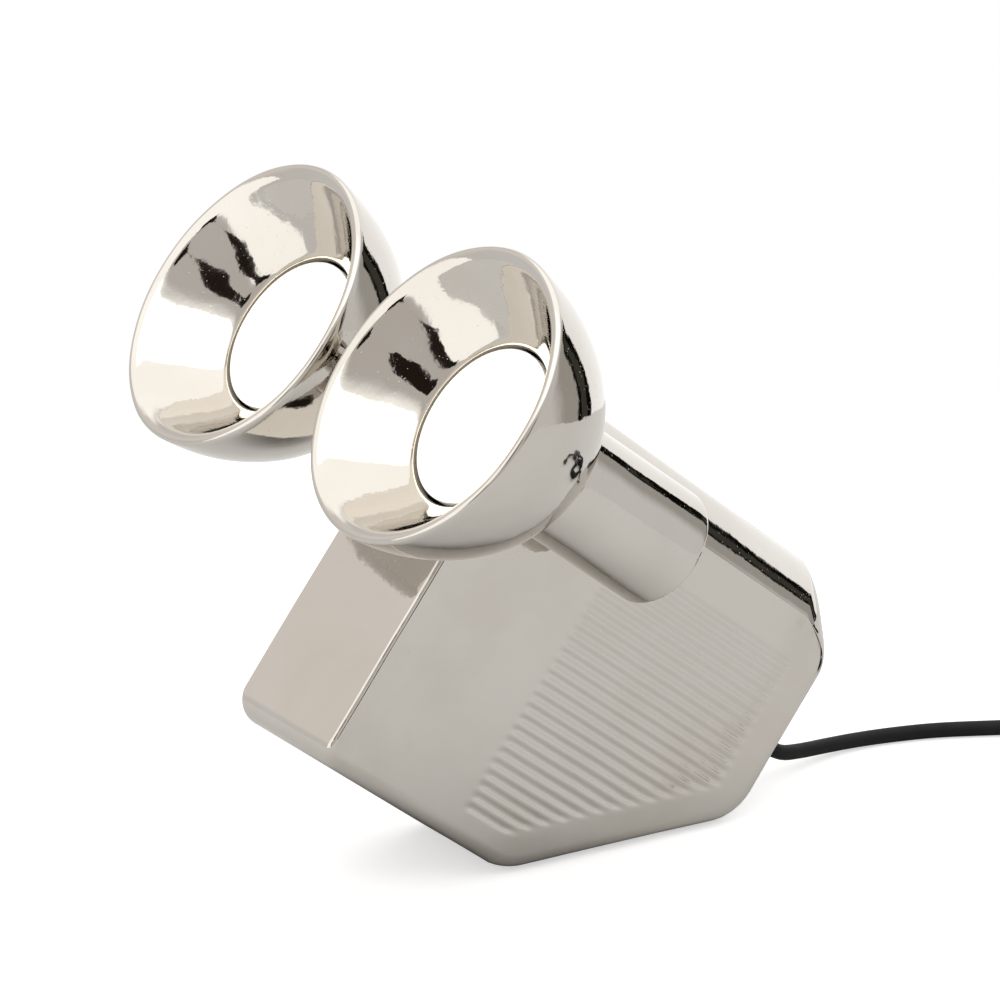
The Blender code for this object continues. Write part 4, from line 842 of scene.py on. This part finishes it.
def make_lamp(side_name, side, white, opal):
    """Lamp module with its rim, hub and pins, and the crowned opal front."""
    edge = 0.0014
    seat = LAMP_FRONT - 0.0025
    skin = [
        (0.0, LAMP_BACK - LAMP_HUB_DEPTH),
        (LAMP_HUB_RADIUS - edge, LAMP_BACK - LAMP_HUB_DEPTH),
        *arc((LAMP_HUB_RADIUS - edge, LAMP_BACK - LAMP_HUB_DEPTH + edge), edge, -80, 0, 4),
        (LAMP_HUB_RADIUS, LAMP_BACK),
        (LAMP_RADIUS - edge, LAMP_BACK),
        *arc((LAMP_RADIUS - edge, LAMP_BACK + edge), edge, -80, 0, 4),
        *arc((LAMP_RADIUS - 0.0003, LAMP_FRONT - 0.0003), 0.0003, 0, 180, 4),
        (LAMP_RADIUS - 0.0006, seat),
        (0.0, seat),
    ]
    space = head_space(side)
    body = mesh_object(side_name + "_lamp_shell", *turned(skin, ROUND_SIDES), white, space)
    body.data.set_sharp_from_angle(angle=math.radians(50))
    pins = []
    for x in (-0.0265, 0.0265):
        foot, tip = (0.0, LAMP_BACK - 0.0055), arc((0.0017, LAMP_BACK - 0.0047), 0.0008, -80, 0, 3)
        pin = turned([foot, *tip, (0.0025, LAMP_BACK), (0.0, LAMP_BACK)], 24)
        pins.append(mesh_object("pin", *pin, white, space @ Matrix.Translation((x, 0.0, 0.0))))
    join(body, pins)
    radius = LAMP_RADIUS - 0.0009
    crown = [(radius * s, LAMP_FRONT + 0.0006 * (1 - s * s) - 0.0001) for s in np.linspace(0.98, 0.0, 16)]
    disc = [(0.0, seat + 0.0003), (radius, seat + 0.0003), (radius, LAMP_FRONT - 0.0004), *crown]
    front = mesh_object(side_name + "_opal", *turned(disc, ROUND_SIDES), opal)
    front.data.set_sharp_from_angle(angle=math.radians(50))
    front.matrix_world = space
    for made, node, name in ((body, "_lamp_body", "white_plastic"), (front, "_diffuser", "opal")):
        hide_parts(side_name + node)
        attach(made, side_name + "_lamp")


def join(target, others):
    """Adds the others' meshes to target's."""
    shape = bmesh.new()
    shape.from_mesh(target.data)
    for other in others:
        shape.from_mesh(other.data)
        bpy.data.objects.remove(other)
    shape.to_mesh(target.data)
    shape.free()


# Small pieces


def softened(node, name, width, segments, material, body):
    """The CAD node's own shape with its edges rounded."""
    shape = bmesh.new()
    shape.from_mesh(frame["nodes"][node].data)
    bmesh.ops.remove_doubles(shape, verts=shape.verts, dist=1e-6)
    bmesh.ops.dissolve_limit(shape, angle_limit=math.radians(1), verts=shape.verts, edges=shape.edges)
    mesh = bpy.data.meshes.new(name)
    shape.to_mesh(mesh)
    shape.free()
    made = bpy.data.objects.new(name, mesh)
    bpy.context.scene.collection.objects.link(made)
    modifier = made.modifiers.new("rounding", "BEVEL")
    modifier.width = width
    modifier.segments = segments
    modifier.limit_method = "ANGLE"
    modifier.angle_limit = math.radians(30)
    bpy.context.view_layer.update()
    result = bpy.data.meshes.new_from_object(made.evaluated_get(bpy.context.evaluated_depsgraph_get()))
    made.modifiers.clear()
    made.data = result
    result.materials.clear()
    result.materials.append(material)
    result.shade_smooth()
    result.set_sharp_from_angle(angle=math.radians(40))
    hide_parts(node)
    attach(made, body)
    return made


def make_strain_relief(material):
    """Flange, tapered sleeve with rings and the barrel in the case's wall."""
    edge = 0.0008
    rings = []
    start, end = 0.0034, 0.0192
    count = 5
    pitch = (end - start) / count
    for i in range(count):
        at = start + pitch * i
        for share, drop in ((0.0, 0.0007), (0.12, 0.0), (0.62, 0.0), (0.78, 0.0007)):
            z = at + pitch * share
            taper = 0.0066 + (0.0048 - 0.0066) * (z - start) / (end - start)
            rings.append((taper - drop, z))
    skin = [
        (0.0, -0.013),
        (0.006, -0.013),
        (0.006, 0.0003),
        (0.0095 - edge, 0.0003),
        (0.0095, 0.0003 + edge / 2),
        *arc((0.0095 - edge, 0.0025 - edge), edge, 0, 80, 4),
        *arc((0.0079, 0.0040), 0.0015, 250, 190, 3),
        *rings[1:],
        *arc((0.0040, 0.0194), 0.0006, 0, 80, 3),
        (0.0, 0.020),
    ]
    space = CASE_SPACE @ Matrix.Translation(CORD_EXIT) @ Matrix.Rotation(math.pi / 2, 4, "Y")
    made = mesh_object("ringed_strain_relief", *turned(skin, 64), material, space)
    made.data.set_sharp_from_angle(angle=math.radians(40))
    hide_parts("cord_bushing")
    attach(made, "base")
    return made


# Studio


STRIP_DARK, STRIP_CORE = (0.004, 0.004, 0.003), (0.055, 0.052, 0.044)
BROWN_DARK = (0.020, 0.014, 0.011)
STUDIO_GREY = (0.80, 0.79, 0.785)
# Azimuth and its half width, elevation and its half height, edge softness, colour, jaggedness; angles in degrees
WORLD_ZONES = [
    ((0, 200), (90, 48), 14, (1.60, 1.59, 1.57), 2),
    ((36, 33), (8, 33), 5, (1.22, 1.22, 1.22), 2),
    ((180, 26), (10, 36), 2.5, (1.55, 1.54, 1.52), 9),
    ((122, 32), (26, 22), 10, (0.95, 0.91, 0.88), 2),
    ((-130, 24), (12, 24), 6, (0.68, 0.655, 0.635), 4),
    ((-11, 13), (-4, 26), 16, (0.46, 0.445, 0.42), 2),
    ((-84, 7), (6, 13), 2, BROWN_DARK, 6),
    ((1, 7), (-4, 21), 1.2, STRIP_DARK, 5),
    ((0, 3.2), (-1, 15), 1.0, STRIP_CORE, 4),
    ((6, 5), (-26, 4), 1.5, STRIP_DARK, 9),
    ((-139.5, 6), (22.5, 7), 1.0, BROWN_DARK, 8),
    ((-155.5, 3.5), (2, 9), 1.0, BROWN_DARK, 8),
]


def make_world():
    """Grey studio, white overhead and behind, with a dark gap between and small dark things near the camera."""
    world = bpy.data.worlds.new("studio")
    bpy.context.scene.world = world
    world.use_nodes = True
    tree = world.node_tree
    tree.nodes.clear()
    out = tree.nodes.new("ShaderNodeOutputWorld")
    background = tree.nodes.new("ShaderNodeBackground")
    tree.links.new(background.outputs[0], out.inputs[0])
    way = tree.nodes.new("ShaderNodeTexCoord").outputs["Generated"]

    def maths(operation, *values):
        made = tree.nodes.new("ShaderNodeMath")
        made.operation = operation
        for socket, value in zip(made.inputs, values):
            if isinstance(value, bpy.types.NodeSocket):
                tree.links.new(value, socket)
            else:
                socket.default_value = value
        return made.outputs[0]

    def wobble(shift):
        moved = tree.nodes.new("ShaderNodeVectorMath")
        moved.operation = "ADD"
        tree.links.new(way, moved.inputs[0])
        moved.inputs[1].default_value = shift
        noise = tree.nodes.new("ShaderNodeTexNoise")
        noise.inputs["Scale"].default_value = 9.0
        noise.inputs["Detail"].default_value = 4.0
        noise.inputs["Roughness"].default_value = 0.55
        tree.links.new(moved.outputs[0], noise.inputs["Vector"])
        return maths("SUBTRACT", noise.outputs["Fac"], 0.5)

    parts = tree.nodes.new("ShaderNodeSeparateXYZ")
    tree.links.new(way, parts.inputs[0])
    azimuth = maths("ARCTAN2", parts.outputs["Y"], parts.outputs["X"])
    elevation = maths("ARCSINE", parts.outputs["Z"])
    first_wobble, second_wobble = wobble((0.0, 0.0, 0.0)), wobble((5.0, 3.0, 1.0))

    def within(value, middle, half, soft, jagged, rough):
        """1 inside a band round middle, 0 outside it, in radians, with a wavy edge."""
        away = maths("ABSOLUTE", maths("WRAP", maths("SUBTRACT", value, middle), math.pi, -math.pi))
        away = maths("ADD", away, maths("MULTIPLY", rough, jagged))
        mask = tree.nodes.new("ShaderNodeMapRange")
        mask.interpolation_type = "SMOOTHSTEP"
        tree.links.new(away, mask.inputs["Value"])
        for name, number in zip(
            ("From Min", "From Max", "To Min", "To Max"), (half - soft / 2, half + soft / 2, 1.0, 0.0)
        ):
            mask.inputs[name].default_value = number
        return mask.outputs["Result"]

    colour = (*STUDIO_GREY, 1.0)
    for across, upwards, soft, shade, jagged in WORLD_ZONES:
        soft, jagged = math.radians(soft), math.radians(jagged)
        sides = within(azimuth, *map(math.radians, across), soft, jagged, first_wobble)
        rise = within(elevation, *map(math.radians, upwards), soft, jagged, second_wobble)
        mix = tree.nodes.new("ShaderNodeMix")
        mix.data_type = "RGBA"
        tree.links.new(maths("MULTIPLY", sides, rise), mix.inputs["Factor"])
        if isinstance(colour, tuple):
            mix.inputs["A"].default_value = colour
        else:
            tree.links.new(colour, mix.inputs["A"])
        mix.inputs["B"].default_value = (*shade, 1.0)
        colour = mix.outputs["Result"]
    path = tree.nodes.new("ShaderNodeLightPath")
    seen = tree.nodes.new("ShaderNodeMix")
    seen.data_type = "RGBA"
    tree.links.new(path.outputs["Is Camera Ray"], seen.inputs["Factor"])
    tree.links.new(colour, seen.inputs["A"])
    seen.inputs["B"].default_value = (1.0, 1.0, 1.0, 1.0)
    tree.links.new(seen.outputs["Result"], background.inputs["Color"])


def make_floor():
    """A pale round table top that looks white to the camera, like what is behind it, and in reflections carries
    a painted shadow, darker round the lamp's foot.
    """
    centre, radius = (0.10, -0.10), 0.75
    rim = [(centre[0] + x, centre[1] + y, 0.0) for x, y in circle(radius, 128)]
    floor = mesh_object("floor", rim, [tuple(range(len(rim)))], None)
    shader = Shader("pale_floor", (0.62, 0.62, 0.62), 0.8)
    path = shader.node("ShaderNodeLightPath")
    either = shader.node("ShaderNodeMath")
    either.operation = "MAXIMUM"
    shader.feed(either.inputs[0], path.outputs["Is Camera Ray"])
    shader.feed(either.inputs[1], path.outputs["Is Transmission Ray"])
    strength = shader.ranged(either.outputs[0], 0.0, 1.0, 0.0, 0.55)
    # Painted shadow: for glossy rays only, the floor's colour goes from 0.62 down to about 0.2 within 0.03 to
    # 0.12 m of the lamp's foot.
    away = shader.node("ShaderNodeVectorMath")
    away.operation = "DISTANCE"
    shader.feed(away.inputs[0], shader.place)
    shader.feed(away.inputs[1], (-0.03, 0.03, 0.0))
    near = shader.ranged(away.outputs["Value"], 0.03, 0.12, 1.0, 0.0, True)
    painted_shadow_in_reflections = shader.node("ShaderNodeMath")
    painted_shadow_in_reflections.operation = "MULTIPLY"
    shader.feed(painted_shadow_in_reflections.inputs[0], path.outputs["Is Glossy Ray"])
    shader.feed(painted_shadow_in_reflections.inputs[1], near)
    shade = shader.blended(painted_shadow_in_reflections.outputs[0], (0.62, 0.62, 0.62), (0.20, 0.19, 0.18))
    shader.feed(shader.main.inputs["Base Color"], shade)
    shader.set("Emission Color", (1.0, 1.0, 1.0, 1.0))
    shader.feed(shader.main.inputs["Emission Strength"], strength)
    floor.data.materials.append(shader.material)


def area_light(name, at, size, power, aim=(0.0, 0.0, 0.12)):
    data = bpy.data.lights.new(name, "AREA")
    data.shape = "RECTANGLE"
    data.size, data.size_y = size
    data.energy = power
    made = bpy.data.objects.new(name, data)
    bpy.context.scene.collection.objects.link(made)
    made.location = at
    made.rotation_euler = (Vector(aim) - Vector(at)).to_track_quat("-Z", "Y").to_euler()
    return made


def main():
    make_camera()
    glaze, zinc_plate, coat, pins = platinum(), zinc(), powder_coat(), brass()
    white = plastic("white_plastic", (0.85, 0.84, 0.81), (0.80, 0.79, 0.75), 0.42, 900.0, 0.15)
    black = plastic("black_plastic", (0.020, 0.020, 0.021), (0.012, 0.012, 0.013), 0.32, 1200.0, 0.18)
    sheath = (0.009, 0.009, 0.009), (0.006, 0.006, 0.006)
    rubber = plastic("black_sheath", *sheath, 0.6, 800.0, 0.2, Specular_IOR_Level=0.2)
    clear = plastic("clear_rubber", (0.55, 0.55, 0.53), (0.48, 0.48, 0.46), 0.5, 900.0, 0.1)
    fibre = plastic("grey_fibre", (0.30, 0.29, 0.27), (0.22, 0.21, 0.19), 0.8, 2500.0, 0.5)
    opal = lit_opal()
    (flex, main_path), (end, tail_path) = make_cord(rubber)
    by_slot = {
        "platinum_glaze": glaze,
        "steel": zinc_plate,
        "black_steel": coat,
        "brass": pins,
        "white_plastic": white,
        "opal": opal,
        "black_plastic": black,
        "black_rubber": rubber,
        "clear_rubber": clear,
        "grey_fibre": fibre,
    }
    for row in frame["record"]["subparts"]:
        node = frame["nodes"][row["node"]]
        for i in range(len(node.material_slots)):
            node.material_slots[i].material = by_slot[row["material_slot"]]
    case = fine_case(glaze)
    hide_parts("body_shell")
    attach(case, "base")
    for side_name, side in (("left", -1), ("right", 1)):
        make_bowl(side_name, side, glaze)
        make_housing(side_name, side, glaze)
        make_neck(side_name, side, glaze)
        make_lamp(side_name, side, white, opal)
    make_strain_relief(rubber)
    softened("base_plate", "coated_base_plate", 0.0003, 2, coat, "base")
    for number in range(1, 5):
        softened(f"foot_{number}", f"soft_foot_{number}", 0.0004, 2, clear, "base")
    switch = [
        softened("switch_base", "moulded_switch_base", 0.0012, 4, black, "base"),
        softened("switch_cover", "moulded_switch_cover", 0.0016, 4, black, "base"),
        softened("switch_rocker", "moulded_rocker", 0.0005, 3, black, "rocker"),
    ]
    tie = softened("coil_tie", "strap_tie", 0.0003, 2, black, "base")
    plug = [
        softened("plug_body", "moulded_plug", 0.0018, 4, black, "base"),
        softened("plug_pin_1", "rounded_pin_1", 0.0004, 2, pins, "base"),
        softened("plug_pin_2", "rounded_pin_2", 0.0004, 2, pins, "base"),
    ]
    make_floor()
    make_world()
    area_light("top_softbox", (-0.4, -0.5, 1.9), (1.6, 1.6), 4.0)
    bpy.context.scene.view_settings.view_transform = "Standard"


main()
